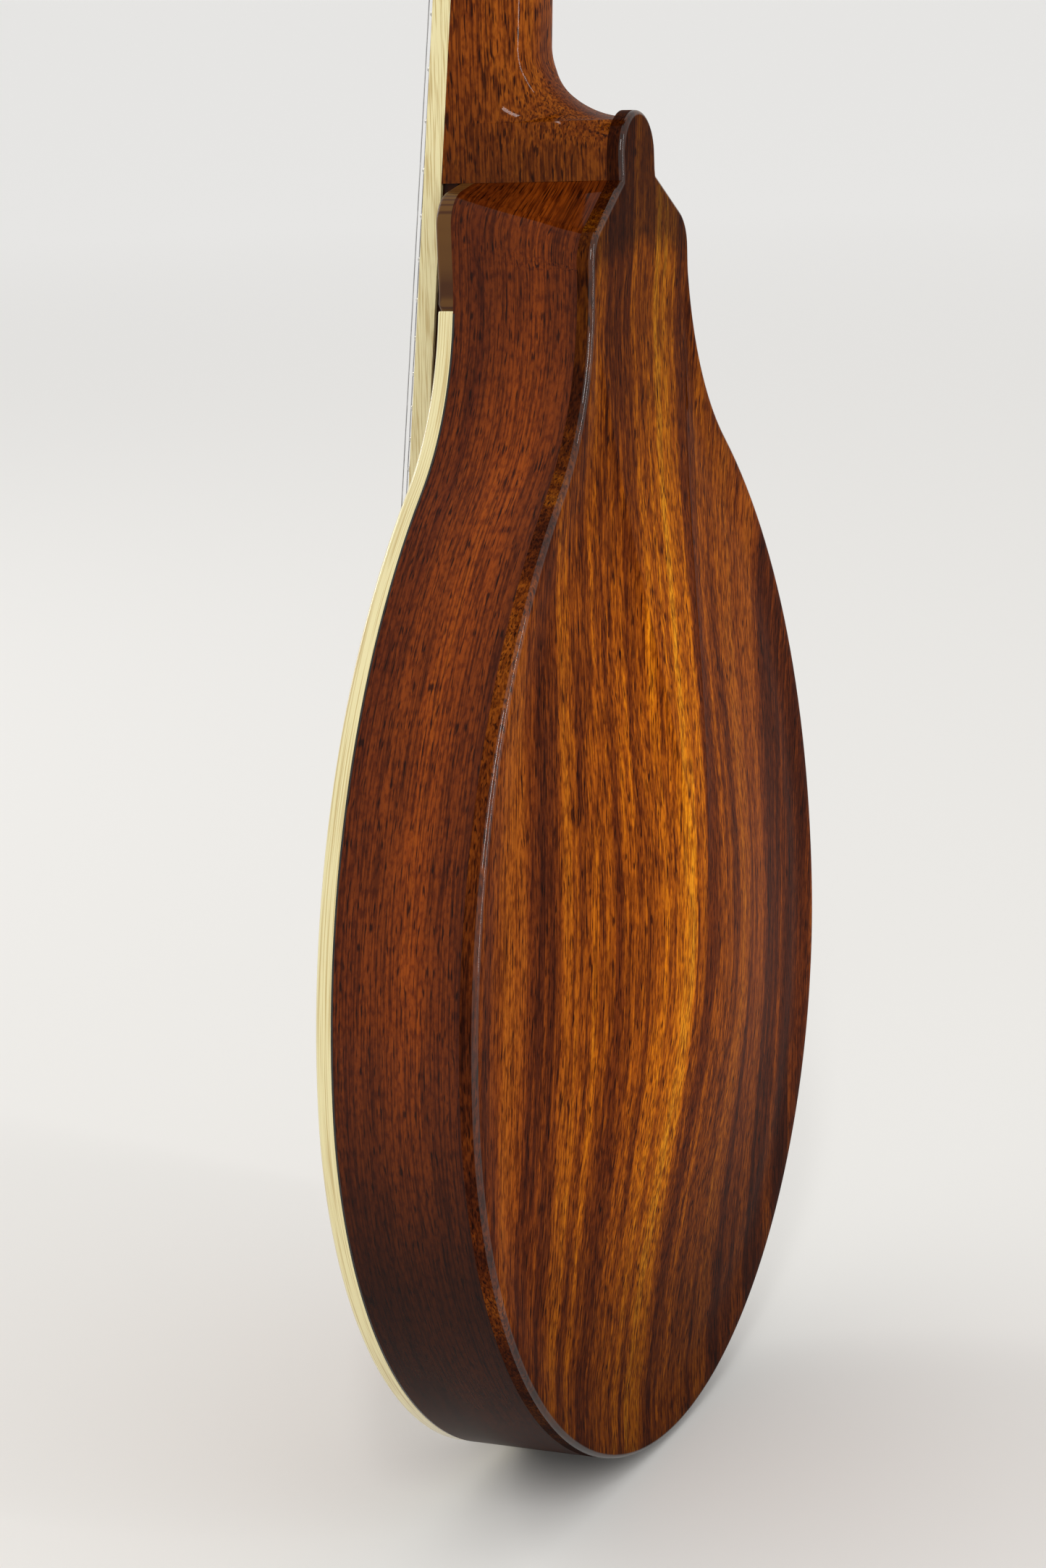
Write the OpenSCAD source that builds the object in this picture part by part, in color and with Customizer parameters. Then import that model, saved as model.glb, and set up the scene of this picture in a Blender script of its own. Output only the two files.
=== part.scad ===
// Carved-top mandolin with a pear-shaped body and an oval sound hole.
// Z runs from the tail to the headstock, +Y points out of the soundboard, and the treble side is at -X.
// The origin is the lowest point of the tail, in the middle of the body's edge.

/* [Body] */
// Radius of the lower bout
bout_r = 125; // [118:1:132]
// Radius of the flank above the widest point
flank_r = 185; // [170:1:200]
// Angle over which the flank turns before the waist begins
flank_turn = 50; // [46:1:53]
// Half width of the narrow upper body
upper_half = 34; // [31:0.5:37]
// Straight stretch between the waist and the shoulder
upper_straight = 0.7; // [0.5:0.1:6]
// Depth of the body at its edge, plates included
rim_depth = 43; // [38:0.5:50]
// Thickness of the bent ribs
rib_t = 2.2; // [1.6:0.1:3]
// Thickness of the carved plates
plate_t = 4.5; // [3.5:0.1:5.5]
// Rise of the carved soundboard
top_rise = 14.5; // [11:0.5:17]
// Rise of the carved back
back_rise = 13; // [10:0.5:16]
// Depth of the scoop that runs round inside the plates' edge
recurve = 0.6; // [0.2:0.1:1]
// Height of the arch's crown above the centre of the lower bout
crown_up = 15; // [7:1:23]
// Radius of the shoulder corner at the soundboard
top_shoulder_r = 9; // [6:0.5:11]
// Radius of the shoulder corner at the back
back_shoulder_r = 11; // [8:0.5:13]

/* [Sound hole] */
// Half width of the oval hole
hole_half_w = 26; // [22:0.5:29]
// Half height of the oval hole
hole_half_h = 18.5; // [16:0.5:20]
// Gap between the fingerboard's end and the hole
hole_gap = 10; // [8:0.5:16]

/* [Binding and linings] */
// Width of the body binding, seen from the front
binding_w = 1.6; // [1.2:0.1:2.4]
// Distance from the neck joint down to where the body binding starts
binding_drop = 31; // [24:1:40]
// Depth of the kerfed linings
lining_h = 8; // [6:0.5:10]
// Width of the kerfed linings
lining_w = 5; // [4:0.5:7]

/* [Neck] */
// Scale length, from the nut to the bridge
scale_len = 352; // [345:1:360]
// Distance from the nut to the body joint
nut_to_joint = 146; // [140:1:152]
// Backward tilt of the neck
neck_tilt = 5; // [3.5:0.25:6]
// Height of the fingerboard's underside over the body's edge at the joint
board_lift = 4.5; // [3.5:0.25:7]
// Half width of the neck at the nut
nut_half = 14.6; // [13.5:0.1:16]
// Growth of the neck's half width per millimetre of length
taper = 0.0281; // [0.022:0.001:0.032]
// Depth of the neck behind the fingerboard at the nut
shaft_d_nut = 15.5; // [13:0.5:18]
// Depth of the neck behind the fingerboard at the heel
shaft_d_heel = 20.5; // [18:0.5:23]
// Half width of the heel where it meets the back
button_half = 11.5; // [10:0.5:13]
// Length of the heel's foot, along the neck
heel_foot = 15; // [12:0.5:20]
// Length of the curve between the heel's foot and the shaft
heel_curve = 18; // [14:1:24]

/* [Fingerboard] */
// Thickness of the fingerboard
board_t = 5; // [4:0.25:6.5]
// Length of the fingerboard past the body joint
board_over = 100; // [98:1:104]
// Number of frets
fret_count = 20; // [16:1:20]
// Height of a fret's crown
fret_h = 1; // [0.8:0.05:1.3]
// Radius of a fret's crown
crown_r = 0.8; // [0.7:0.05:1.1]
// Thickness of the fingerboard binding
board_binding = 1.5; // [1:0.1:2]
// Length of the nut, along the strings
nut_len = 5; // [4:0.25:6.5]

/* [Headstock] */
// Tilt of the headstock behind the neck
head_tilt = 14; // [10:0.5:16]
// Length of the headstock
head_len = 132; // [130:1:140]
// Thickness of the headstock's wood
head_t = 14; // [12:0.5:16]
// Half width of the headstock above its flare
head_half = 30; // [28.5:0.5:33]
// Thickness of the veneer on the headstock's face
veneer_t = 1.6; // [1:0.1:2.4]

/* [Tuners] */
// Distance between neighbouring string posts
post_gap = 23; // [22:0.25:24.5]
// Distance of the post rows from the centre line
post_x = 17.5; // [16.5:0.25:19]
// Distance from the nut to the first post
first_post = 36; // [34:1:38]
// Radius of a string post
post_r = 3; // [2.6:0.1:3.3]
// Module of the worm gearing
gear_module = 0.6; // [0.56:0.01:0.66]
// Number of teeth on a gear
gear_teeth = 16; // [14:1:16]
// Thickness of the gear
gear_t = 2.4; // [1.8:0.1:2.6]
// Pitch radius of the worm
worm_r = 2.6; // [2.5:0.05:2.9]
// Radius of the worm's shaft
shaft_r = 1.5; // [1.2:0.05:1.6]
// Thickness of the tuner's sheet metal
sheet_t = 1.2; // [1:0.1:1.6]
// Radius of a tuner button
button_r = 7.2; // [6:0.2:8.5]

/* [Bridge and tailpiece] */
// Half length of the bridge's base
bridge_half = 54; // [50:1:58]
// Width of the bridge's base
bridge_w = 11; // [9:0.5:13]
// Half distance between the bridge's posts
wheel_x = 36; // [33:1:38]
// Radius of a thumbwheel
wheel_r = 5.5; // [4.5:0.25:6.5]
// Height of a thumbwheel
wheel_h = 2.4; // [2:0.1:3]
// How far the saddle can be lowered
saddle_travel = 1.5; // [1:0.1:2]
// Height of the strings over the fingerboard at the bridge
action = 4.2; // [3.4:0.1:5]
// Half width of the tailpiece
tail_half = 15.4; // [14.5:0.1:17]
// Length of the tailpiece's hook leaf
leaf_len = 34; // [32:1:40]
// Length of the tailpiece's cover
cover_len = 62; // [56:1:68]
// Radius of the hole for a strap pin in the tail
strap_pin_r = 3.5; // [3:0.1:4]

/* [Strings] */
// Half distance between the outer pairs' middles at the nut
nut_spread = 10.4; // [9.6:0.1:11]
// Half distance between the outer pairs' middles at the bridge
bridge_spread = 19; // [18:0.25:20]
// Distance between the two strings of a pair at the nut
pair_gap_nut = 2.2; // [1.9:0.1:2.6]
// Distance between the two strings of a pair at the bridge
pair_gap_bridge = 3; // [2.6:0.1:3.4]
// Turns of string round each post
string_turns = 2.25; // [2:0.25:2.5]

/* [Hidden] */
$fn = 48;
fit_gap = 0.05;          // running clearance between a shaft and its bore
glue_gap = 0.02;         // clearance between glued or pressed pieces
eps = 0.01;
string_r = [0.5, 0.32, 0.19, 0.14];   // G, D, A and E

// Outline of the body
edge_y = rim_depth / 2;
crown_z = bout_r + crown_up;
flank_x = bout_r - flank_r + flank_r * cos(flank_turn);
flank_z = bout_r + flank_r * sin(flank_turn);
waist_r = (flank_x - upper_half) / (1 - cos(flank_turn));
waist_z = flank_z + waist_r * sin(flank_turn);
back_turn = 58;          // how far the back's shoulder turns towards the neck
top_turn = 80;           // how far the soundboard's shoulder turns
back_slope_x = upper_half - back_shoulder_r * (1 - cos(back_turn));
body_len = waist_z + upper_straight + back_shoulder_r * sin(back_turn)
    + (back_slope_x - button_half) / tan(back_turn);

// Neck, fingerboard and headstock
board_top_y = edge_y + board_lift + board_t / cos(neck_tilt);
nut_z = nut_to_joint;
bridge_dist = scale_len - nut_to_joint;
shaft_top_z = nut_z + nut_len;
button_len = heel_foot + 2;
button_tip_z = body_len + button_len;
hole_z = body_len - board_over * cos(neck_tilt) - hole_gap - hole_half_h;

// Tuners, in the headstock's frame
pitch_r = gear_module * gear_teeth / 2;
lead = PI * gear_module;
worm_up = pitch_r + worm_r;             // the worm sits this far above the post
worm_tip = worm_r + gear_module;
worm_core = worm_r - 1.25 * gear_module;
worm_turns = 4;
worm_y = -head_t - sheet_t - worm_tip - 0.25;
gear_top = worm_y + gear_t / 2;
square_half = 1.8;                       // half side of the post's square end
ear_x = 6;                               // distance of the ears from the post
ear_r = worm_tip + 0.1;
post_top = 14;
wind_y = 10.6;                           // height at which a string reaches its post
wind_r = post_r - 0.5;
button_x = head_half - post_x + 4.5;     // where the button starts, from the post
thread_y = 0.3;

// Bridge and tailpiece
saddle_pt = [board_top_y + action * cos(neck_tilt) + bridge_dist * sin(neck_tilt),
    body_len + action * sin(neck_tilt) - bridge_dist * cos(neck_tilt)];
string_y = saddle_pt[0];
bridge_z = saddle_pt[1];
crown_y = edge_y + top_rise;
base_top = crown_y + 5;
wheel_y = base_top + saddle_travel + 0.3;
saddle_low = wheel_y + wheel_h + eps * 10;
screw_r = 1.6;                           // radius of the bridge's threaded posts
hook_z = leaf_len - 5;
hook_gap = 3.5;
hook_r = 0.6;
leaf_y = edge_y + 1.9;                   // underside of the hook leaf
hook_y = leaf_y + sheet_t + 1.1;         // height at which the strings leave the hooks
cover_t = 1;
cover_gap = 3;           // from the soundboard up to the open end of the cover's sides
after_slope = (string_y - hook_y) / (bridge_z - hook_z);
wide_hook = 3.5 * hook_gap + hook_r + string_r[0] + 0.06;     // as far out as the outer strings' loops
wide_string = bridge_spread + pair_gap_bridge / 2;
cover_half = wide_hook + (wide_string - wide_hook) * (cover_len - hook_z) / (bridge_z - hook_z)
    + string_r[0] + 0.6;     // the cover's sides stand clear of the outer strings
strap_pin_y = -3;
block_len = 34;          // the neck block, along the body
block_wide = 26;         // and half its width
tenon_narrow = 6;
tenon_wide = 8;

// ---------- frames ----------

// Turns and moves a point from a frame that is tilted about X
function from_frame(p, y, z, tilt) = [p[0],
    y + p[1] * cos(tilt) - p[2] * sin(tilt),
    z + p[1] * sin(tilt) + p[2] * cos(tilt)];
function neck_pt(p) = from_frame(p, board_top_y, body_len, neck_tilt);
function head_pt(p) = neck_pt(from_frame(p, -board_t, shaft_top_z, head_tilt));

// The neck's frame: y = 0 is the playing surface and z = 0 the body joint
module in_neck() {
    translate([0, board_top_y, body_len]) rotate([neck_tilt, 0, 0]) children();
}

// The headstock's frame: y = 0 is the wood's face and z = 0 the end of the nut
module in_head() {
    in_neck() translate([0, -board_t, shaft_top_z]) rotate([head_tilt, 0, 0]) children();
}

// Tuners 1 to 4 are on the bass side from the nut up, and 5 to 8 on the treble side
function tuner_side(k) = k <= 4 ? 1 : -1;
function post_z(k) = first_post + post_gap * ((k - 1) % 4);
module at_post(k) {
    in_head() translate([tuner_side(k) * post_x, 0, post_z(k)]) children();
}

// ---------- general shapes ----------

// Extrudes an outline in the XZ plane from one y to another
module slab(y0, y1) {
    translate([0, y1, 0]) rotate([90, 0, 0]) linear_extrude(y1 - y0) children();
}

// Extrudes an outline in the YZ plane, centred on X
module bar_x(w) {
    translate([-w / 2, 0, 0]) rotate([90, 0, 90]) linear_extrude(w) children();
}

module rod_y(r, y0, y1) {
    translate([0, y0, 0]) rotate([-90, 0, 0]) cylinder(r = r, h = y1 - y0);
}

module rod_x(r, x0, x1) {
    translate([min(x0, x1), 0, 0]) rotate([0, 90, 0]) cylinder(r = r, h = abs(x1 - x0));
}

// A box given by its corners
module block(low, high) {
    translate(low) cube(high - low);
}

// Two flat triangles for each quad of a closed strip between two rings of n points
function band(a, b, n) = [for (i = [0:n - 1]) let (j = (i + 1) % n)
    each [[a + i, a + j, b + j], [a + i, b + j, b + i]]];
function fan(ring, n) = [for (i = [1:n - 2]) [ring, ring + i, ring + i + 1]];
function flip(faces) = [for (f = faces) [f[2], f[1], f[0]]];

// A solid through rings of points, all with as many points
module skin(rings) {
    n = len(rings[0]);
    m = len(rings);
    polyhedron([for (ring = rings) each ring],
        concat([for (k = [0:m - 2]) each band(k * n, (k + 1) * n, n)],
            flip(fan(0, n)), fan((m - 1) * n, n)));
}

// ---------- outlines ----------

function arc(c, r, a0, a1, n, first) = [for (i = [first:n]) let (a = a0 + (a1 - a0) * i / n)
    [c[0] + r * cos(a), c[1] + r * sin(a)]];

// From the tail to the neck along +X: bout, flank, waist and shoulder
function half_outline(shoulder_r, turn, end_x) = let (
    slope_x = upper_half - shoulder_r * (1 - cos(turn)),
    start_z = body_len - shoulder_r * sin(turn) - (slope_x - end_x) / tan(turn))
    concat(arc([0, bout_r], bout_r, -90, 0, 16, 0),
        arc([bout_r - flank_r, bout_r], flank_r, 0, flank_turn, 7, 1),
        arc([flank_x + waist_r * cos(flank_turn), flank_z + waist_r * sin(flank_turn)],
            waist_r, 180 + flank_turn, 180, 7, 1),
        arc([upper_half - shoulder_r, start_z], shoulder_r, 0, turn, 5, 0),
        [[end_x, body_len]]);
back_half = half_outline(back_shoulder_r, back_turn, button_half);
top_end = nut_half + taper * nut_z;
top_half = half_outline(top_shoulder_r, top_turn, top_end);

// The whole outline, counter-clockwise, from a half that starts and ends on the centre line
function mirrored(half) = concat(half,
    [for (i = [len(half) - 2:-1:1]) [-half[i][0], half[i][1]]]);

// Moves each point of an open run of points inwards, square to its neighbours
function inset(run, d) = [for (i = [0:len(run) - 1]) let (
    a = run[max(i - 1, 0)], b = run[min(i + 1, len(run) - 1)],
    t = (b - a) / norm(b - a),
    flat = i == 0 && abs(run[0][0]) < eps)
    flat ? [0, run[0][1] + d] : run[i] + d * [-t[1], t[0]]];
top_closed = concat(top_half, [[0, body_len]]);
back_closed = concat(back_half,
    [[button_half, button_tip_z - button_half]],
    arc([0, button_tip_z - button_half], button_half, 0, 90, 4, 1));

// ---------- carved plates ----------

// Distance from the crown to the edge, by the angle from the neck's direction. The carving runs on
// past the shoulders as if the narrow upper body went on, so that it has no creases there
waist_end = 30;          // the outline's last point before the shoulders
reach = norm([top_closed[waist_end][0], top_closed[waist_end][1] - crown_z]);
edge_table = concat([[0, reach * 1.01]], [for (i = [waist_end:-1:0]) let (p = top_closed[i])
    [atan2(p[0], p[1] - crown_z), norm([p[0], p[1] - crown_z])]]);
function edge_share(x, z) = min(1, norm([x, z - crown_z])
    / lookup(atan2(abs(x), z - crown_z), edge_table));
rise_end = 0.93;         // share of the way out at which the carving has run out
scoop_start = 0.8;
function dome(s) = s < rise_end ? (1 + cos(180 * s / rise_end)) / 2 : 0;
function scoop(s) = s > scoop_start ? pow(sin(180 * (s - scoop_start) / (1 - scoop_start)), 2) : 0;
function outer_h(x, z, rise) = let (s = edge_share(x, z)) rise * dome(s) - recurve * scoop(s);
function inner_h(x, z, rise) = rise * dome(edge_share(x, z)) - plate_t;
function top_y(x, z) = edge_y + outer_h(x, z, top_rise);

// A carved plate between an inner ring and the outline. side is 1 for the soundboard and -1 for the back
module carved_plate(inner, outer, steps, rise, side, hole) {
    n = len(outer);
    m = len(steps);
    at = [for (t = steps) [for (i = [0:n - 1]) inner[i] + t * (outer[i] - inner[i])]];
    face = [for (ring = at) each [for (p = ring)
        [p[0], side * (edge_y + outer_h(p[0], p[1], rise)), p[1]]]];
    under = [for (ring = at) each [for (p = ring)
        [p[0], side * (edge_y + inner_h(p[0], p[1], rise)), p[1]]]];
    face_skin = [for (k = [0:m - 2]) each band(k * n, (k + 1) * n, n)];
    under_skin = flip([for (k = [0:m - 2]) each band((m + k) * n, (m + k + 1) * n, n)]);
    edge = band((m - 1) * n, (2 * m - 1) * n, n);
    middle = hole ? flip(band(0, m * n, n)) : concat(flip(fan(0, n)), fan(m * n, n));
    faces = concat(face_skin, under_skin, edge, middle);
    polyhedron(concat(face, under), side > 0 ? flip(faces) : faces);
}

// The soundboard's outline: full at the neck, and drawn in by the binding below it
binding_z = body_len - binding_drop;
top_inset = inset(top_closed, binding_w);
top_plate_half = [for (i = [0:len(top_closed) - 1])
    top_closed[i][1] < binding_z ? top_inset[i] : top_closed[i]];

plate_steps = [0, 0.12, 0.25, 0.37, 0.49, 0.6, 0.7, 0.79, 0.87, 0.94, 1];
module top_plate() {
    outer = mirrored(top_plate_half);
    ring = [for (p = outer) let (a = atan2(p[0], p[1] - hole_z))
        [hole_half_w * sin(a), hole_z + hole_half_h * cos(a)]];
    color("peru") carved_plate(ring, outer, plate_steps, top_rise, 1, true);
}

module back_plate() {
    outer = mirrored(back_closed);
    ring = [for (p = outer) let (a = atan2(p[0], p[1] - crown_z))
        [7 * sin(a), crown_z + 7 * cos(a)]];
    color("saddlebrown") carved_plate(ring, outer, plate_steps, back_rise, -1, false);
}

// ---------- sides and inner work ----------

rib_y = edge_y - plate_t - glue_gap;     // the ribs and blocks end here, against the plates
function both_ways(half) = concat([for (i = [len(half) - 1:-1:1]) [-half[i][0], half[i][1]]], half);
function in3(p, y) = [p[0], y, p[1]];

module ribs() {
    out_top = both_ways(top_half);
    out_back = both_ways(back_half);
    in_top = both_ways(inset(top_half, rib_t));
    in_back = both_ways(inset(back_half, rib_t));
    color("maroon") difference() {
        skin([for (i = [0:len(out_top) - 1])
            [in3(out_top[i], rib_y), in3(out_back[i], -rib_y),
            in3(in_back[i], -rib_y), in3(in_top[i], rib_y)]]);
        tail_screws(glue_gap);
        strap_pin_hole(strap_pin_r);
    }
}

module strap_pin_hole(r) {
    translate([0, strap_pin_y, -5]) cylinder(r = r, h = tail_block_z + 6);
}

// The inner face of the ribs, seen by the pieces glued to it
inner_half = inset(back_half, rib_t + glue_gap * 2);
tail_block_z = 16;
block_half = block_wide;
head_block_z = body_len - block_len;
tenon_len = 16;

module tail_block() {
    half = [for (i = [0:2]) inner_half[i]];
    color("burlywood") difference() {
        slab(-rib_y, rib_y) polygon(concat([for (i = [2:-1:1]) [-half[i][0], half[i][1]]], half,
            [[half[2][0], tail_block_z], [-half[2][0], tail_block_z]]));
        tail_screws(glue_gap);
        strap_pin_hole(strap_pin_r);
    }
}

function dovetail(gap) = [[-tenon_narrow - gap, body_len + 1], [tenon_narrow + gap, body_len + 1],
    [tenon_wide + gap, body_len - tenon_len - gap], [-tenon_wide - gap, body_len - tenon_len - gap]];
tenon_low = -12;
tenon_top = 14;

module head_block() {
    end = button_half - rib_t * cos(back_turn) - 0.2;
    shoulder = body_len - rib_t * sin(back_turn) - 0.2;
    color("burlywood") difference() {
        slab(-rib_y, rib_y) polygon([[-block_half, head_block_z], [block_half, head_block_z],
            [block_half, shoulder - (block_half - end) / tan(back_turn)], [end, shoulder],
            [end, body_len - glue_gap], [-end, body_len - glue_gap], [-end, shoulder],
            [-block_half, shoulder - (block_half - end) / tan(back_turn)]]);
        slab(tenon_low - glue_gap, tenon_top + glue_gap) polygon(dovetail(glue_gap));
    }
}

// One kerfed lining between the tail block and the neck block
module lining(y0, y1, side) {
    outside = inset(back_half, rib_t + glue_gap * 2);
    inside = inset(back_half, rib_t + lining_w);
    run = [for (i = side > 0 ? [3:1:30] : [30:-1:3]) i];
    skin([for (i = run) let (a = outside[i], b = inside[i])
        [[side * a[0], y1, a[1]], [side * a[0], y0, a[1]],
        [side * b[0], y0, b[1]], [side * b[0], y1, b[1]]]]);
}

module linings() {
    color("burlywood") for (side = [-1, 1]) {
        lining(rib_y - lining_h, rib_y, side);
        lining(-rib_y, -rib_y + lining_h, side);
    }
}

brace_z = hole_z - hole_half_h - 10;
brace_half = 66;
module cross_brace() {
    color("burlywood") skin([for (i = [-8:8]) let (x = brace_half * i / 8,
        top = edge_y + min(inner_h(x, brace_z - 3, top_rise), inner_h(x, brace_z + 3, top_rise)) - 0.45,
        low = top - 4 - 7 * pow(cos(90 * i / 8), 2))
        [[x, low, brace_z + 2], [x, top, brace_z + 3], [x, top, brace_z - 3], [x, low, brace_z - 2]]]);
}

// The binding sits in the notch between the ribs' outline and the soundboard's
module body_binding() {
    outer = top_closed;
    last = max([for (i = [0:len(outer) - 1]) outer[i][1] < binding_z ? i : 0]);
    out_run = [for (i = [0:last]) outer[i]];
    in_run = [for (i = [0:last]) inset(top_closed, binding_w - glue_gap)[i]];
    color("ivory") skin([for (i = [-last:last]) let (k = abs(i), s = i < 0 ? -1 : 1,
        a = out_run[k], b = in_run[k], mid = (a + b * 0.6) / 1.6)
        [[s * a[0], edge_y - 0.9, a[1]], [s * a[0], rib_y + glue_gap * 2, a[1]],
        [s * b[0], rib_y + glue_gap * 2, b[1]], [s * b[0], edge_y - 0.05, b[1]],
        [s * mid[0], edge_y - 0.05, mid[1]]]]);
}

// ---------- neck ----------

function half_at(z) = nut_half + taper * (nut_z - z);
function shaft_depth(z) = shaft_d_heel + (shaft_d_nut - shaft_d_heel) * min(1, max(0, z / nut_z));
under_y = board_top_y - board_t / cos(neck_tilt);    // underside of the fingerboard at the joint
heel_y = -edge_y + plate_t + glue_gap;
curve_z = heel_foot + heel_curve;
curve_y = under_y - curve_z * tan(neck_tilt) - shaft_depth(curve_z);
tip_z = button_len - button_half;

// Height above the body joint at which each cross-section is cut
neck_stations = [glue_gap, 5, 9, 12, 14, heel_foot, heel_foot + 0.4, heel_foot + 1.4, heel_foot + 3.2,
    heel_foot + 6, heel_foot + 10, heel_foot + 14, curve_z, 50, 80, 110, 138];
function neck_low(z) = let (u = 1 - (z - heel_foot) / heel_curve)
    z <= heel_foot ? heel_y
    : z < curve_z ? curve_y - (curve_y - heel_y) * (1 - sqrt(max(0, 1 - u * u)))
    : under_y - z * tan(neck_tilt) - shaft_depth(z);
function foot_half(z) = z < tip_z ? button_half : sqrt(max(1, pow(button_half, 2) - pow(z - tip_z, 2)));

// One cross-section: a deep foot under the body end, a round shaft beyond it
function neck_ring(z) = let (
    top = under_y - z * tan(neck_tilt),
    depth = top - neck_low(z),
    w = half_at(z),
    blend = min(1, max(0, (z - heel_foot + 4) / 16)),
    foot = min(1, foot_half(min(z, heel_foot)) / w),
    side = [for (k = [0:9]) let (t = k / 9, q = 90 * t)
        [w * ((1 - blend) * (1 - (1 - foot) * pow(t, 1.5)) + blend * cos(q * 0.92)),
        top - depth * ((1 - blend) * t + blend * sin(q))]])
    concat([for (k = [0:9]) in3([side[k][0], body_len + z], side[k][1])],
        [for (k = [9:-1:0]) in3([-side[k][0], body_len + z], side[k][1])]);

// The same in the headstock's frame, where the shaft runs out into the headstock's back
function tongue_ring(z, w, y0, depth) = concat(
    [for (k = [0:9]) head_pt([w * cos(82.8 * k / 9), y0 - depth * sin(10 * k), z])],
    [for (k = [9:-1:0]) head_pt([-w * cos(82.8 * k / 9), y0 - depth * sin(10 * k), z])]);

brow_len = 18;                           // length of the headstock's rounded end
brow_z = head_len - brow_len;
head_outline_half = concat(
    [[nut_half, 0], [nut_half + 0.6, 4]],
    [for (i = [1:8]) let (t = i / 8) [nut_half + 0.6 + (head_half - nut_half - 0.6)
        * (1 - cos(180 * t)) / 2, 4 + 18 * t]],
    [[head_half - 0.6, first_post + post_gap + 1], [head_half - 0.9, brow_z - 19],
    [head_half, brow_z], [head_half - 0.7, brow_z + brow_len / 3]],
    [for (i = [1:8]) let (t = i / 8) [(head_half - 0.7) * (1 - t), brow_z + brow_len / 3
        + brow_len * 2 / 3 * pow(sin(90 * t), 1.2)]]);
head_outline = mirrored(concat([[0, 0]], head_outline_half));

rod_y = -board_t - 6.5;                  // the truss rod's axis, in the neck's frame
rod_r = 2.5;
rod_end = shaft_top_z + 6;
pocket_half = 4.6;
pocket_end = 20;                         // how far the pocket runs up the headstock

module truss_rod() {
    color("silver") in_neck() translate([0, rod_y, 4]) cylinder(r = rod_r, h = rod_end - 4);
}

module truss_rod_nut() {
    color("gold") in_neck() translate([0, rod_y, shaft_top_z + 2]) difference() {
        cylinder(r = 3.9, h = 9, $fn = 6);
        translate([0, 0, -1]) cylinder(r = rod_r + fit_gap, h = 7);
        translate([0, 0, 6]) cylinder(r = 2, h = 4, $fn = 6);
    }
}

// The sloping pocket in the headstock's face that gives access to the rod's nut
module rod_pocket() {
    in_neck() {
        translate([0, rod_y, shaft_top_z + 1]) cylinder(r = pocket_half, h = pocket_end);
        block([-pocket_half, rod_y, shaft_top_z + 1], [pocket_half, 6, shaft_top_z + 1 + pocket_end]);
    }
}

// The wood that carries the fingerboard over the soundboard, without touching it
module neck_extension() {
    last = -board_over + 3;
    skin([for (i = [0:8]) let (z = last + (glue_gap + 1 - last) * i / 8,
        zw = z * cos(neck_tilt), w = half_at(z) - 1.2,
        top = under_y - zw * tan(neck_tilt),
        low = max(top_y(0, body_len + zw), edge_y) + 0.35)
        [in3([-w, body_len + zw], top), in3([w, body_len + zw], top),
        in3([w, body_len + zw], low), in3([-w, body_len + zw], low)]]);
}

module neck() {
    rings = concat([for (z = neck_stations) neck_ring(z)],
        [tongue_ring(2, nut_half - 0.3, 0, 14.9), tongue_ring(12, nut_half - 3, -3, 12),
        tongue_ring(26, 6, -6, 7.7)]);
    color("sienna") difference() {
        union() {
            skin(rings);
            neck_extension();
            in_head() slab(-head_t, 0) polygon(head_outline);
            slab(tenon_low, tenon_top) polygon(dovetail(0));
        }
        in_neck() translate([0, rod_y, 3.5]) cylinder(r = rod_r + glue_gap, h = shaft_top_z);
        rod_pocket();
        for (k = [1:8]) at_post(k) {
            rod_y(post_r + 0.4, -head_t - 1, 1);
            rod_y(ferrule_r + glue_gap, -ferrule_deep - glue_gap, 1);
        }
        plate_screws(glue_gap);
        cover_screws(glue_gap);
    }
}

module fingerboard() {
    end_z = nut_z - glue_gap;
    color("black") in_neck() difference() {
        slab(-board_t + glue_gap, 0) polygon(board_outline(board_binding + glue_gap, end_z));
        for (i = [1:fret_count]) fret_slot(i, glue_gap);
    }
}

function board_outline(side, end_z) = [[-half_at(-board_over) + side, -board_over + side],
    [half_at(-board_over) - side, -board_over + side], [half_at(end_z) - side, end_z],
    [-half_at(end_z) + side, end_z]];

module fingerboard_binding() {
    end_z = nut_z - glue_gap;
    color("ivory") in_neck() difference() {
        slab(-board_t + glue_gap, 0) polygon(board_outline(0, end_z));
        slab(-board_t - 1, 1) polygon(board_outline(board_binding, end_z + 1));
    }
}

function fret_z(i) = nut_z - scale_len * (1 - pow(2, -i / 12));
tang_t = 0.5;
tang_d = 1.6;
module fret_slot(i, gap) {
    w = half_at(fret_z(i)) - board_binding - 0.3;
    block([-w - gap, -tang_d - gap, fret_z(i) - tang_t / 2 - gap], [w + gap, 1, fret_z(i) + tang_t / 2 + gap]);
}

module frets() {
    color("silver") in_neck() for (i = [1:fret_count]) {
        w = half_at(fret_z(i));
        t = tang_t / 2;
        bar = [for (a = [0:22.5:180]) [fret_h * sin(a) + glue_gap, crown_r * cos(a)]];
        translate([0, 0, fret_z(i)]) {
            bar_x(2 * w - 0.2) polygon(bar);
            bar_x(2 * (w - board_binding - 0.3)) polygon([[-tang_d, -t], [0.2, -t], [0.2, t], [-tang_d, t]]);
        }
    }
}

// ---------- strings' path ----------

// Strings 0 to 7 run from the bass side to the treble side, in four pairs
function pair_of(i) = floor(i / 2);
function spread(half, gap, i) = half * (1 - 2 * pair_of(i) / 3) + (i % 2 == 0 ? gap : -gap) / 2;
function radius_of(i) = string_r[pair_of(i)];
function post_of(i) = [1, 2, 3, 4, 8, 7, 6, 5][i];
nut_string_y = fret_h + 0.75;            // height of the strings at the nut
function hook_x(i) = (3.5 - i) * hook_gap;

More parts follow.
